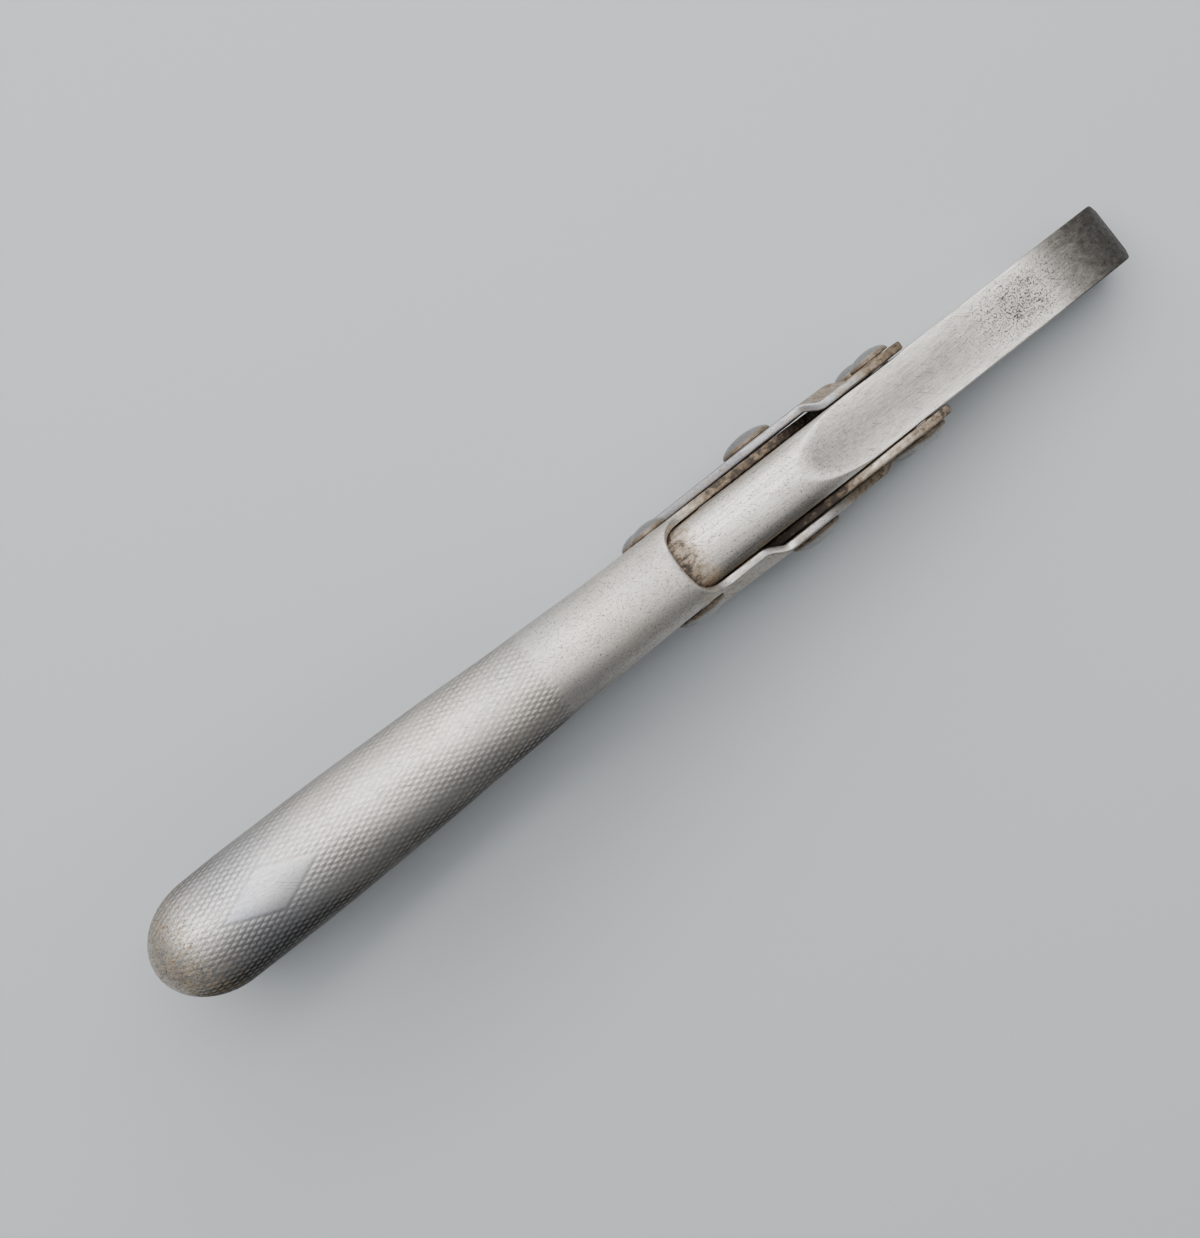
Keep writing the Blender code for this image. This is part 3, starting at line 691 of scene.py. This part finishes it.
def add_shell(skin, side, grip_a, shell_a, shell_q):
    """The checkered grip in fine rows, the plain shell, their insides and the seam between them."""
    flip = side < 0
    foot = wall_foot(grip_a)[:, None]
    a = grip_a[:, None]
    fine = np.linspace(0.0, 1.0, ROWS * FINE + 1)
    q = (foot - SHEET_EDGE) * fine
    depth = checkering(a, fine, foot)
    outer = sheet_skin(a, q, side, depth * GROOVE_DEPTH)
    skin.add_grid(outer, flip, **grip_wear_and_light(outer[..., 0], a, q, fine, depth, side))
    coarse_q = (foot - SHEET_EDGE) * ROW_SHARES
    inside = sheet_skin(a, coarse_q, side, SHEET)
    skin.add_grid(inside, not flip, grime=0.6, tarnish=0.4)

    # The shell's first column lies on the grip's last one, and the seam stands for it outside
    shell = sheet_skin(shell_a, shell_q, side)
    deep = sheet_skin(shell_a, shell_q, side, SHEET)
    skin.add_grid(shell[1:], flip, **shell_wear_and_shade(shell_a[1:], shell_q[1:], side))
    skin.add_grid(deep, not flip, grime=0.8, tarnish=0.6)
    seam_q = np.concatenate([q[-1], shell_q[1]])
    # The seam's tarnish, with painted shade on side -1 as on the wall
    seam_tarnish_and_shade = wall_tarnish_and_shade(grip_a[-1], seam_q, side) + 0.07
    stitch(skin, outer[-1], shell[1], flip, tarnish=seam_tarnish_and_shade, pits=0.5)


def handle_half(skin, side):
    """One half of a handle: grip and shell, cheek, and the sheet's rounded edges."""
    columns = int(round((GRIP_FRONT + GRIP_LEAD - SHELL_BACK) / GRIP_STEP))
    round_end = SHELL_BACK - END_ARC * np.linspace(1.0, 0.0, END_COLUMNS, endpoint=False)
    grip_a = np.concatenate([round_end, np.linspace(SHELL_BACK, GRIP_FRONT + GRIP_LEAD, columns)])
    rim = rim_line()
    rim_inner = inset(rim, SHEET_EDGE, 1)
    rim_inner[0, 1] = 0.0
    shell_a, shell_q = shell_grid(grip_a[-1], rim_inner)
    add_shell(skin, side, grip_a, shell_a, shell_q)

    # Cheek from the shell's last column to the boss's tip
    flip = side < 0
    top_line = resample(cheek_top_line(), CHEEK_COLUMNS)
    foot_line = resample(cheek_foot_line(rim_inner[-1, 0]), CHEEK_COLUMNS)
    top_inner = inset(top_line, SHEET_EDGE, 1)
    foot_inner = inset(foot_line, SHEET_EDGE, -1)
    tip = (top_line[-1] + foot_line[-1]) / 2
    top_line[0] = rim[-1]
    top_line[-1] = foot_line[-1] = tip
    top_inner[0] = rim_inner[-1]
    foot_inner[0] = shell_a[-1, -1], shell_q[-1, -1]
    top_inner[-1] = foot_inner[-1] = tip - np.array([SHEET_EDGE, 0.0])
    span = top_inner[:, None, :] + (foot_inner - top_inner)[:, None, :] * WALL_SHARES[None, :, None]
    cheek = sheet_skin(span[..., 0], span[..., 1], side)
    behind = sheet_skin(span[..., 0], span[..., 1], side, SHEET)
    skin.add_grid(cheek, flip, **cheek_wear(span[..., 0], side))
    skin.add_grid(behind, not flip, grime=1.0, tarnish=0.7)

    # Rounded edges: the rim, the cheek's top and foot, and the free edges of shell and grip
    into_edge = np.array([0.0, SHEET_EDGE])
    shell_inner = np.stack([shell_a[:, -1], shell_q[:, -1]], axis=1)
    grip_edge = np.stack([grip_a, wall_foot(grip_a)], axis=1)
    edges = ((rim, rim_inner, flip, {"grime": 0.3, "pits": 0.4}),
             (top_line, top_inner, flip, top_edge_wear_and_light(top_line[:, :1], side)),
             (foot_line, foot_inner, not flip, foot_edge_wear_and_light(foot_line[:, :1], side)),
             (shell_inner + into_edge, shell_inner, not flip, {"grime": 0.5}),
             (grip_edge, grip_edge - into_edge, not flip, {"grime": 0.5}))
    for border, inner, turned, wear_and_painted_light in edges:
        skin.add_grid(edge_strip(border, inner, side), turned, **wear_and_painted_light)


def hand_worn(points):
    """A handle's slow unevenness: crossed waves a few mm long, that die out at the rim.

    They run along the handle and round it, and move each point a little up and sideways.
    """
    x, y, z = points.T
    share = UNEVEN * ramp(x, RIM_X, -UNEVEN_FADE)
    lift = crossed_waves(x, y, LIFT_WAVES)
    along, up, across = SHIFT_WAVES
    shift = np.sin(x / along + z / up) * np.cos(z / across)
    return points + np.stack([0.0 * x, share * shift, share * lift], axis=1)


def make_handle(name, place, body, material):
    """A pressed handle: a straight cheek on its left half and a joggled one on its right."""
    skin = Skin()
    for side in (1, -1):
        handle_half(skin, side)
    mesh = skin.mesh(name, lambda points: place(hand_worn(points)))
    piece(mesh, body, name, material)


def half_round(y):
    """Height of the forged back: half an ellipse over the jaw's width."""
    return JAW_TOP - JAW_CROWN * (1 - np.sqrt(1 - np.clip(np.abs(y) / JAW_HALF, 0, 1) ** 2))


def jaw_back(x):
    """Height of the ground back: a ramp, a long flat and a nose that curves over to the tip.

    The nose is a parabola from the flat's end to the tip, as a quadratic Bezier curve.
    """
    ramp_end = np.array([FLAT_START + FLAT_RAMP, JAW_TOP - FLAT_DROP])
    nose_start = np.array([NOSE_REACH - NOSE_LENGTH, ramp_end[1] - BACK_DROP])
    lean = (nose_start[1] - ramp_end[1]) / (nose_start[0] - ramp_end[0])
    shoulder = nose_start + NOSE_FULL * NOSE_LENGTH * np.array([1.0, lean])
    tip = np.array([NOSE_REACH, TIP_HEIGHT])
    t = np.linspace(0.0, 1.0, NOSE_POINTS)[:, None]
    nose = (1 - t) ** 2 * nose_start + 2 * t * (1 - t) * shoulder + t * t * tip
    steep = JAW_TOP - (x - FLAT_START) * FLAT_DROP / FLAT_RAMP
    flat = ramp_end[1] + (x - ramp_end[0]) * lean
    ground = eased_higher(steep, flat, RAMP_EASE)
    return np.where(x > nose_start[0], np.interp(x, nose[:, 0], nose[:, 1]), ground)


def jaw_grip(x):
    """Height of the grip face: the tail's relief, cross teeth, and a toothed round recess."""
    recess_end = RECESS_START + RECESS_LENGTH
    radius = (RECESS_LENGTH ** 2 / 4 + RECESS_DEPTH ** 2) / (2 * RECESS_DEPTH)
    off = np.clip(x - RECESS_START - RECESS_LENGTH / 2, -RECESS_LENGTH / 2, RECESS_LENGTH / 2)
    recess = np.sqrt(radius ** 2 - off ** 2) - radius + RECESS_DEPTH
    tooth = np.abs(((x - TEETH_START) / TOOTH_PITCH + 0.5) % 1.0 - 0.5) * 2 * TOOTH_DEPTH
    relief = np.clip(TEETH_START - x, 0.0, TAIL_RELIEF - GRIP_GAP)
    in_recess = (x > RECESS_START) & (x < recess_end)
    return GRIP_GAP + recess * in_recess + np.where(x > TEETH_START, tooth, relief)


def round_off(from_end, radius):
    """How far a corner of a radius has drawn in at a distance from its end."""
    left = np.clip(radius - from_end, 0.0, radius)
    return radius - np.sqrt(radius ** 2 - left ** 2)


def jaw_loops(x):
    """Closed sections of the jaw: the back over the width, a side, the grip face and a side.

    The back is the lower of the half-round and the ground face, eased where they meet. Long
    edges and corners are worn round.
    """
    half = math.pi / 2
    across = JAW_HALF * np.sin(np.linspace(-half, half, BACK_POINTS))
    from_side = JAW_HALF - np.abs(across)
    tail_edge = round_off(x - TAIL_END, TAIL_EDGE)
    narrow = 1 - (round_off(NOSE_REACH - x, TIP_CORNER) + tail_edge) / JAW_HALF
    back = -eased_higher(-half_round(across), -jaw_back(x)[:, None], FLAT_EASE)
    back = back - round_off(from_side, JAW_EDGE) - tail_edge[:, None]
    grip = (jaw_grip(x) + round_off(x - TAIL_END, TAIL_CORNER))[:, None]
    grip = grip + round_off(from_side[::GRIP_SKIP], GRIP_EDGE)
    grip = np.minimum(grip, back[:, ::GRIP_SKIP] - LEAST_DEPTH)
    share = np.linspace(0.0, 1.0, SIDE_POINTS + 2)[1:-1]
    left = back[:, -1:] + (grip[:, -1:] - back[:, -1:]) * share
    right = grip[:, :1] + (back[:, :1] - grip[:, :1]) * share
    side = np.full(SIDE_POINTS, JAW_HALF)
    y = np.concatenate([across, side, across[::-GRIP_SKIP], -side])
    z = np.concatenate([back, left, grip[:, ::-1], right], axis=1)
    x_all = np.repeat(x[:, None], z.shape[1], axis=1)
    return np.stack([x_all, narrow[:, None] * y, z], axis=-1)


def jaw_surface():
    """The whole jaw: its sections closed round, and each end drawn in to a small worn edge."""
    near_end = 1 - np.cos(np.linspace(0.25, math.pi / 2, num=9))
    ramp_start = FLAT_START - RAMP_LEAD
    relief_end = TEETH_START - TAIL_RELIEF
    tip_start = NOSE_REACH - TIP_CORNER
    x = np.concatenate([TAIL_END + TAIL_CORNER * near_end[:-1],
                        np.linspace(TAIL_END + TAIL_CORNER, ramp_start - 0.2, num=30),
                        np.linspace(ramp_start, relief_end, num=66),
                        np.arange(relief_end + 0.3, tip_start - 0.1, TOOTH_PITCH / 4),
                        NOSE_REACH - TIP_CORNER * near_end[::-1]])
    loops = jaw_loops(x)
    ends = []
    for end, way in ((loops[0], -1), (loops[-1], 1)):
        middle = end.mean(axis=0)
        for grow in END_STEPS:
            pull = middle + (end - middle) * (1 - grow * END_DRAW)
            pull[:, 0] = end[:, 0] + way * grow
            ends.append(pull)
    return np.concatenate([ends[1][None], ends[0][None], loops, ends[2][None], ends[3][None]])


def jaw_wear_and_light(loops):
    """Wear of a jaw, with painted shade and a painted reflection.

    The ground flat is darkened along its middle as a painted dark reflection and burnished where it cuts the
    half-round, the nose darkens in two steps, and a patch ahead of the middle is pitted. Rust and painted
    shade lie under the handle's rim and in its corners, dirt and painted shade between the cheeks and on the
    shoulders, and dirt in the teeth.
    """
    x, y, z = loops[..., 0], np.abs(loops[..., 1]), loops[..., 2]
    out = y / JAW_HALF
    # Under the handle's rim: rust and dirt, with painted shade where the rim overhangs the jaw
    under_rim_dirt_and_shade = ramp(x, RIM_X + 4.5, -4.0)
    corner = under_rim_dirt_and_shade * ramp(out, 0.35, 0.5)
    # Painted shade on the shoulders beside the cheeks, heavier at negative Y, with a little dirt
    shoulder = np.where(loops[..., 1] < 0, 0.8, 0.4) * ramp(out, 0.4, 0.55) * ramp(x, 7.0, -8.0)
    under_back = ramp(z - z.max(axis=1, keepdims=True), -0.6, -2.0)
    # The sides between the cheeks: dirt and painted shade
    side = under_back * (y > JAW_HALF - FACE_DEPTH) * ramp(x, 24.5, -1.5)
    teeth = (z < jaw_grip(x) + 0.8) * (x > TEETH_START)
    back = z > jaw_back(x) - FACE_DEPTH
    ground_off = half_round(y) - jaw_back(x)
    flat = ramp(ground_off, 0.1, 0.5) * back
    # Painted dark reflection along the middle of the ground flat
    hollow = (0.6 - 0.25 * ramp(x, 26.0, 12.0)) * (1 - out ** 2) * flat
    nose = 0.84 * ramp(x, NOSE_REACH - 16.5, 7.0) ** 0.7 + 0.11 * ramp(x, NOSE_REACH - 11.5, 6.5)
    patch = 0.9 * np.exp(-((x - 40.5) / 9.0) ** 2) * (1 - 0.9 * out ** 3)
    burnished = np.exp(-((ground_off - 0.06) / 0.09) ** 2) * (x > FLAT_START - RAMP_LEAD) * back
    grime = np.max([0.9 * ramp(x, RIM_X + 8.0, -7.5), 1.15 * corner, 0.85 * side, 0.45 * shoulder,
                    0.5 * teeth], axis=0)
    tarnish = np.max([nose, hollow, 0.5 * side, shoulder, 0.6 * under_rim_dirt_and_shade, 0.1 * (1 - flat)], axis=0)
    pits = 0.3 + np.maximum(patch, 0.35 * ramp(x, 10.0, -8.0))
    return {"grime": grime, "tarnish": tarnish * (1 - burnished), "pits": pits * (1 - burnished)}


def closed_tube_mesh(name, loops, place, **shares):
    """A mesh of closed sections with a flat face over each end."""
    rows = loops.shape[1]
    wrapped = np.concatenate([loops, loops[:, :1]], axis=1)
    round_shares = {key: np.concatenate([share, share[:, :1]], axis=1) for key, share in shares.items()}
    skin = Skin()
    skin.add_grid(wrapped, **round_shares)
    for column in (0, -1):
        end_shares = {key: share[column] for key, share in shares.items()}
        skin.add(loops[column], np.arange(rows)[None, :], **end_shares)
    return skin.mesh(name, place)


def slot_and_hole():
    """Outlines of the jaw's guide slot and rivet hole in (x, z), round at their ends."""
    radius = SHANK_RADIUS + PIN_PLAY
    slot = np.vstack([
        arc_points((-PIN_REACH - PIN_PLAY, PIN_RISE), radius, 90, 270, HOLE_POINTS),
        arc_points((SLOT_TRAVEL - PIN_REACH + PIN_PLAY, PIN_RISE), radius, -90, 90, HOLE_POINTS)])
    hole = arc_points((PIN_REACH, PIN_RISE), radius, 0, 360, 2 * HOLE_POINTS - 1)[:-1]
    return slot, hole


def cut_through(mesh, outlines, place):
    """Cut outlines right through a mesh along Y, and return the cut mesh."""
    blank = new_object("blank", mesh)
    reach = 2 * JAW_HALF
    cutters = []
    for outline in outlines:
        rings = np.stack([np.insert(outline, 1, y, axis=1) for y in (-reach, reach)])
        cutters.append(new_object("cutter", closed_tube_mesh("cutter", rings, place)))
        step = blank.modifiers.new("cut", "BOOLEAN")
        step.operation = "DIFFERENCE"
        step.object = cutters[-1]
    bpy.context.view_layer.update()
    graph = bpy.context.evaluated_depsgraph_get()
    done = bpy.data.meshes.new_from_object(blank.evaluated_get(graph))
    for item in [blank] + cutters:
        bpy.data.objects.remove(item)
    return done


def make_jaw(name, place, body, material):
    """A forged jaw with its slot and rivet hole."""
    loops = jaw_surface()
    blank = closed_tube_mesh(name, loops, place, **jaw_wear_and_light(loops))
    mesh = cut_through(blank, slot_and_hole(), place)
    mesh.name = name
    mesh.shade_smooth()
    mesh.set_sharp_from_angle(angle=SHARP_ANGLE)
    piece(mesh, body, name, material)


def dome_profile(head, seat, shank):
    """Half profile (radius, height) of a domed head: an ellipse with a small lip at its seat."""
    angle = np.linspace(math.pi / 2, HEAD_LIP, DOME_POINTS)
    dome = np.stack([head[0] * np.cos(angle), seat + head[1] * np.sin(angle)], axis=1)
    dome[0, 0] = 0.0
    lip = [[head[0], seat + HEAD_LIP * head[1]], [head[0] - LIP_DRAW, seat], [shank, seat]]
    return np.vstack([dome, lip])


def through_profile(head):
    """A rivet with a dome at each end and a straight shank between the cheeks' outsides."""
    half = dome_profile(head, CHEEK_OUT + HEAD_PLAY, SHANK_RADIUS)
    return np.vstack([half, half[::-1] * np.array([1.0, -1.0])])


def pivot_profile():
    """A short rivet with a dome outside and a flush, slightly spread end inside."""
    half = dome_profile(PIVOT_HEAD, CHEEK_OUT + JOGGLE + HEAD_PLAY, PIVOT_SHANK)
    inner = CHEEK_IN + PIVOT_FLUSH
    spread, length = PIVOT_SPREAD
    return np.vstack([half, [[PIVOT_SHANK, inner + length], [PIVOT_SHANK + spread, inner], [0.0, inner]]])


def make_rivet(name, profile, at, body, place, material):
    """A turned rivet: the half profile swept round Y at a place in the tool frame."""
    round_it = np.linspace(0.0, 2 * math.pi, RIVET_SIDES + 1)
    radius, height = profile[:, 0], profile[:, 1]
    points = np.stack([at[0] + np.outer(np.cos(round_it), radius),
                       np.broadcast_to(height, (RIVET_SIDES + 1, len(height))),
                       at[1] + np.outer(np.sin(round_it), radius)], axis=-1)
    low = ramp(radius / radius.max(), 0.86, 0.14)
    skin = Skin()
    skin.add_grid(points, grime=0.2 + 0.6 * low, tarnish=0.08 + 0.4 * low, pits=0.6)
    mesh = skin.mesh(name, place)
    mesh.set_sharp_from_angle(angle=SHARP_ANGLE)
    piece(mesh, body, name, material)


def linear(code):
    """An sRGB hex colour as linear red, green, blue and alpha."""
    parts = [int(code[i:i + 2], 16) / 255 for i in (1, 3, 5)]
    return [c / 12.92 if c <= 0.04045 else ((c + 0.055) / 1.055) ** 2.4 for c in parts] + [1.0]


def add(tree, kind, inputs, **settings):
    """Add a node with its settings, and return its outputs.

    Its inputs, by name or number, are linked where they come from a node and set where not.
    """
    node = tree.nodes.new(kind)
    for key, value in settings.items():
        setattr(node, key, value)
    for key, value in inputs.items():
        if isinstance(value, bpy.types.NodeSocket):
            tree.links.new(value, node.inputs[key])
        else:
            node.inputs[key].default_value = value
    return node.outputs


def new_material(name):
    """An empty node material and its Principled shader."""
    material = bpy.data.materials.new(name)
    material.use_nodes = True
    return material, material.node_tree.nodes["Principled BSDF"]


def worn_steel(name, warm, cool, lines, lines_share, roughness):
    """Worn bare steel: cloudy greys, fine lines along the tool, dark pits, tarnish and brown grime, and
    painted shade and a painted blue reflection.

    The point attribute says where: red is grime and painted shade, green tarnish and painted shade, blue
    pits and alpha a painted blue sky reflection.
    Clean steel is satin, tarnish a little duller, and grime dull and hardly metallic.
    """
    material, shader = new_material(name)
    tree = material.node_tree
    wear_and_painted_light = add(tree, "ShaderNodeAttribute", {}, attribute_name="wear_and_painted_light")
    grime, tarnish, pitting = add(tree, "ShaderNodeSeparateColor", {"Color": wear_and_painted_light["Color"]})
    place = add(tree, "ShaderNodeTexCoord", {})["Object"]
    patterns = []
    for size, drawn_out, detail, harshness, turn in (CLOUDS, lines, SCRATCHES, BLOTCHES, PITS):
        scale = TO_MM / size
        level = add(tree, "ShaderNodeMapping", {"Vector": place, "Rotation": (0.0, -TILT, turn)})
        stretch = (scale / drawn_out, scale, scale)
        drawn = add(tree, "ShaderNodeMapping", {"Vector": level[0], "Scale": stretch})
        noise = add(tree, "ShaderNodeTexNoise", {"Vector": drawn[0], "Scale": 1.0, "Detail": detail,
                                                 "Roughness": harshness})
        patterns.append(noise["Fac"])
    clouds, rubbed, scratched, blotched, grain = patterns

    # Where each kind of wear and painted light shows, from 0 to 1
    cloudy = add(tree, RANGE, {"Value": clouds, "From Min": 0.34, "From Max": 0.62})[0]
    # Painted blue sky reflection, from the attribute's alpha
    blue_reflection = add(tree, MATH, {0: wear_and_painted_light["Alpha"], 1: 0.8}, operation="MULTIPLY")[0]
    lined = add(tree, RANGE, {"Value": rubbed, "From Min": 0.42, "From Max": 0.72, "To Max": lines_share})[0]
    scored = add(tree, RANGE, {"Value": scratched, "From Min": 0.66, "From Max": 0.7, "To Max": 0.6})[0]
    speckle = add(tree, MATH, {0: pitting, 1: 0.17, 2: grain}, operation="MULTIPLY_ADD")[0]
    pitted = add(tree, RANGE, {"Value": speckle, "From Min": 0.69, "From Max": 0.77, "To Max": 0.8})[0]
    uneven = add(tree, RANGE, {"Value": blotched, "From Min": 0.3, "From Max": 0.65, "To Min": 0.86})[0]
    frosted = add(tree, RANGE, {"Value": grain, "From Min": 0.38, "From Max": 0.66, "To Max": 0.4})[0]
    darkened = add(tree, MATH, {0: tarnish, 1: uneven}, operation="MULTIPLY")[0]
    spread = add(tree, RANGE, {"Value": blotched, "From Min": 0.3, "From Max": 0.7,
                               "To Min": -0.35, "To Max": 0.35})[0]
    reach = add(tree, MATH, {0: grime, 1: spread}, operation="ADD")[0]
    stain_and_shade = add(tree, RANGE, {"Value": reach, "From Min": 0.35, "From Max": 1.0})[0]
    kept_off = add(tree, RANGE, {"Value": grime, "From Max": 0.25, "To Max": 0.9})[0]
    stain_and_shade = add(tree, MATH, {0: stain_and_shade, 1: kept_off}, operation="MULTIPLY")[0]
    aged = add(tree, RANGE, {"Value": reach, "From Min": 0.4, "From Max": 0.75})[0]
    caked_dirt_and_shade = add(tree, RANGE, {"Value": reach, "From Min": 0.75, "From Max": 1.0})[0]

    # Grime, and the painted shade it carries, goes from tan through brown to near black, and the steel's own
    # colours lie under it, with a painted blue sky reflection and tarnish that is partly painted shade
    brown = linear("#a6863f")
    for share, over in ((aged, "#6b4f22"), (caked_dirt_and_shade, "#281b10")):
        brown = add(tree, MIX, {SHARE: share, UNDER: brown, OVER: linear(over)}, data_type="RGBA")[MIXED]
    colour = linear(cool)
    for share, over in ((cloudy, linear(warm)), (blue_reflection, linear("#a6aec4")), (frosted, linear("#8d8882")),
                        (lined, linear("#66625d")), (scored, linear("#514d49")), (pitted, linear("#3a3632")),
                        (darkened, linear("#2f2c29")), (stain_and_shade, brown)):
        colour = add(tree, MIX, {SHARE: share, UNDER: colour, OVER: over}, data_type="RGBA")[MIXED]

    # Grime, tarnish and pits are dull, also where grime and tarnish stand for painted shade, and the rubbed
    # lines break up the shine
    metallic = add(tree, RANGE, {"Value": stain_and_shade, "To Min": 1.0, "To Max": 0.25})[0]
    shine = add(tree, RANGE, {"Value": rubbed, "From Min": 0.3, "From Max": 0.7,
                              "To Min": roughness - 0.06, "To Max": roughness + 0.08})[0]
    for share, gain in ((stain_and_shade, 0.3), (darkened, 0.08), (pitted, 0.25)):
        shine = add(tree, MATH, {0: share, 1: gain, 2: shine}, operation="MULTIPLY_ADD")[0]
    sunk = add(tree, MATH, {0: rubbed, 1: 0.35}, operation="MULTIPLY")[0]
    sunk = add(tree, MATH, {0: sunk, 1: pitted}, operation="SUBTRACT")[0]
    bump = add(tree, "ShaderNodeBump", {"Strength": 0.35, "Distance": RELIEF * TO_METRES, "Height": sunk})[0]
    looks = {"Base Color": colour, "Metallic": metallic, "Roughness": shine, "Normal": bump}
    for socket, value in looks.items():
        tree.links.new(value, shader.inputs[socket])
    return material


def handle_finish():
    """Pressed steel under worn nickel: warm satin grey, cloudy, with short rubbed lines."""
    return worn_steel("worn_nickel_on_pressed_steel", "#d9d1c7", "#ccc7c1", HANDLE_LINES,
                      lines_share=0.3, roughness=0.42)


def jaw_finish():
    """Ground tool steel: bright satin grey with long fine grinding lines towards the nose."""
    return worn_steel("ground_tool_steel", "#ece6dd", "#dfd9d1", JAW_LINES,
                      lines_share=0.45, roughness=0.48)


def rivet_finish():
    """Hammered rivet steel: darker, smoother and cooler, with no lines along it."""
    return worn_steel("hammered_rivet_steel", "#a8a5a2", "#8c8a8b", RIVET_LINES,
                      lines_share=0.35, roughness=0.36)


def table_top():
    """Plain pale grey table, painted and matt."""
    material, shader = new_material("pale_table")
    shader.inputs["Base Color"].default_value = linear("#a4a8ab")
    shader.inputs["Roughness"].default_value = 0.55
    mesh = bpy.data.meshes.new("table")
    corners = [(x * TABLE_REACH, y * TABLE_REACH, 0.0) for x, y in ((-1, -1), (1, -1), (1, 1), (-1, 1))]
    mesh.from_pydata(corners, [], [(0, 1, 2, 3)])
    mesh.materials.append(material)
    new_object("table", mesh)


def soft_light(name, place, aim, size, power):
    """A large soft area light that looks at a point, all in metres."""
    data = bpy.data.lights.new(name, "AREA")
    data.shape = "RECTANGLE"
    data.size, data.size_y = size
    data.energy = power
    lamp = new_object(name, data)
    lamp.location = place
    way = np.array(aim) - np.array(place)
    flat = math.hypot(way[0], way[1])
    lamp.rotation_euler = (math.atan2(flat, -way[2]), 0.0, math.atan2(way[1], way[0]) - math.pi / 2)


def studio():
    """A soft key and a low window on the tool's left, a ceiling, a weak front and a dim surround."""
    world = bpy.data.worlds.new("surround")
    world.use_nodes = True
    back = world.node_tree.nodes["Background"]
    back.inputs["Color"].default_value = linear("#dfe5ea")
    back.inputs["Strength"].default_value = SURROUND
    bpy.context.scene.world = world
    for name, light in LIGHTS.items():
        soft_light(name, *light)


def photo_camera():
    """Camera straight above, turned so that the tool runs up to the right as in the picture."""
    data = bpy.data.cameras.new("photo")
    data.sensor_fit = "HORIZONTAL"
    data.sensor_width = SENSOR_WIDTH
    data.lens = FOCAL_PIXELS / PHOTO_WIDTH * SENSOR_WIDTH
    data.clip_start = NEAREST * TO_METRES
    camera = new_object("photo", data)
    camera.location = np.array([PIVOT[0] + CAMERA_AHEAD, CAMERA_ASIDE, CAMERA_HEIGHT]) * TO_METRES
    camera.rotation_euler = (0.0, 0.0, -PHOTO_TURN)
    bpy.context.scene.camera = camera


def main():
    """Make every piece, the stage, the light and the camera."""
    handle_steel = handle_finish()
    jaw_steel = jaw_finish()
    rivet_steel = rivet_finish()
    make_handle("handle_upper", to_frame, "upper_handle", handle_steel)
    make_handle("handle_lower", lower, "lower_handle", handle_steel)
    make_jaw("jaw_upper", to_frame, "upper_jaw", jaw_steel)
    make_jaw("jaw_lower", lower, "lower_jaw", jaw_steel)
    front = (PIN_REACH, PIN_RISE)
    rear = (-PIN_REACH, PIN_RISE)
    jaw_pin = through_profile(JAW_HEAD)
    guide_pin = through_profile(GUIDE_HEAD)
    make_rivet("jaw_rivet_upper", jaw_pin, front, "lower_handle", to_frame, rivet_steel)
    make_rivet("jaw_rivet_lower", jaw_pin, front, "upper_handle", lower, rivet_steel)
    make_rivet("guide_rivet_upper", guide_pin, rear, "upper_handle", to_frame, rivet_steel)
    make_rivet("guide_rivet_lower", guide_pin, rear, "lower_handle", lower, rivet_steel)
    make_rivet("pivot_rivet_left", pivot_profile(), (0.0, 0.0), "lower_handle", to_frame, rivet_steel)
    make_rivet("pivot_rivet_right", pivot_profile(), (0.0, 0.0), "lower_handle", lower, rivet_steel)
    table_top()
    studio()
    photo_camera()


main()
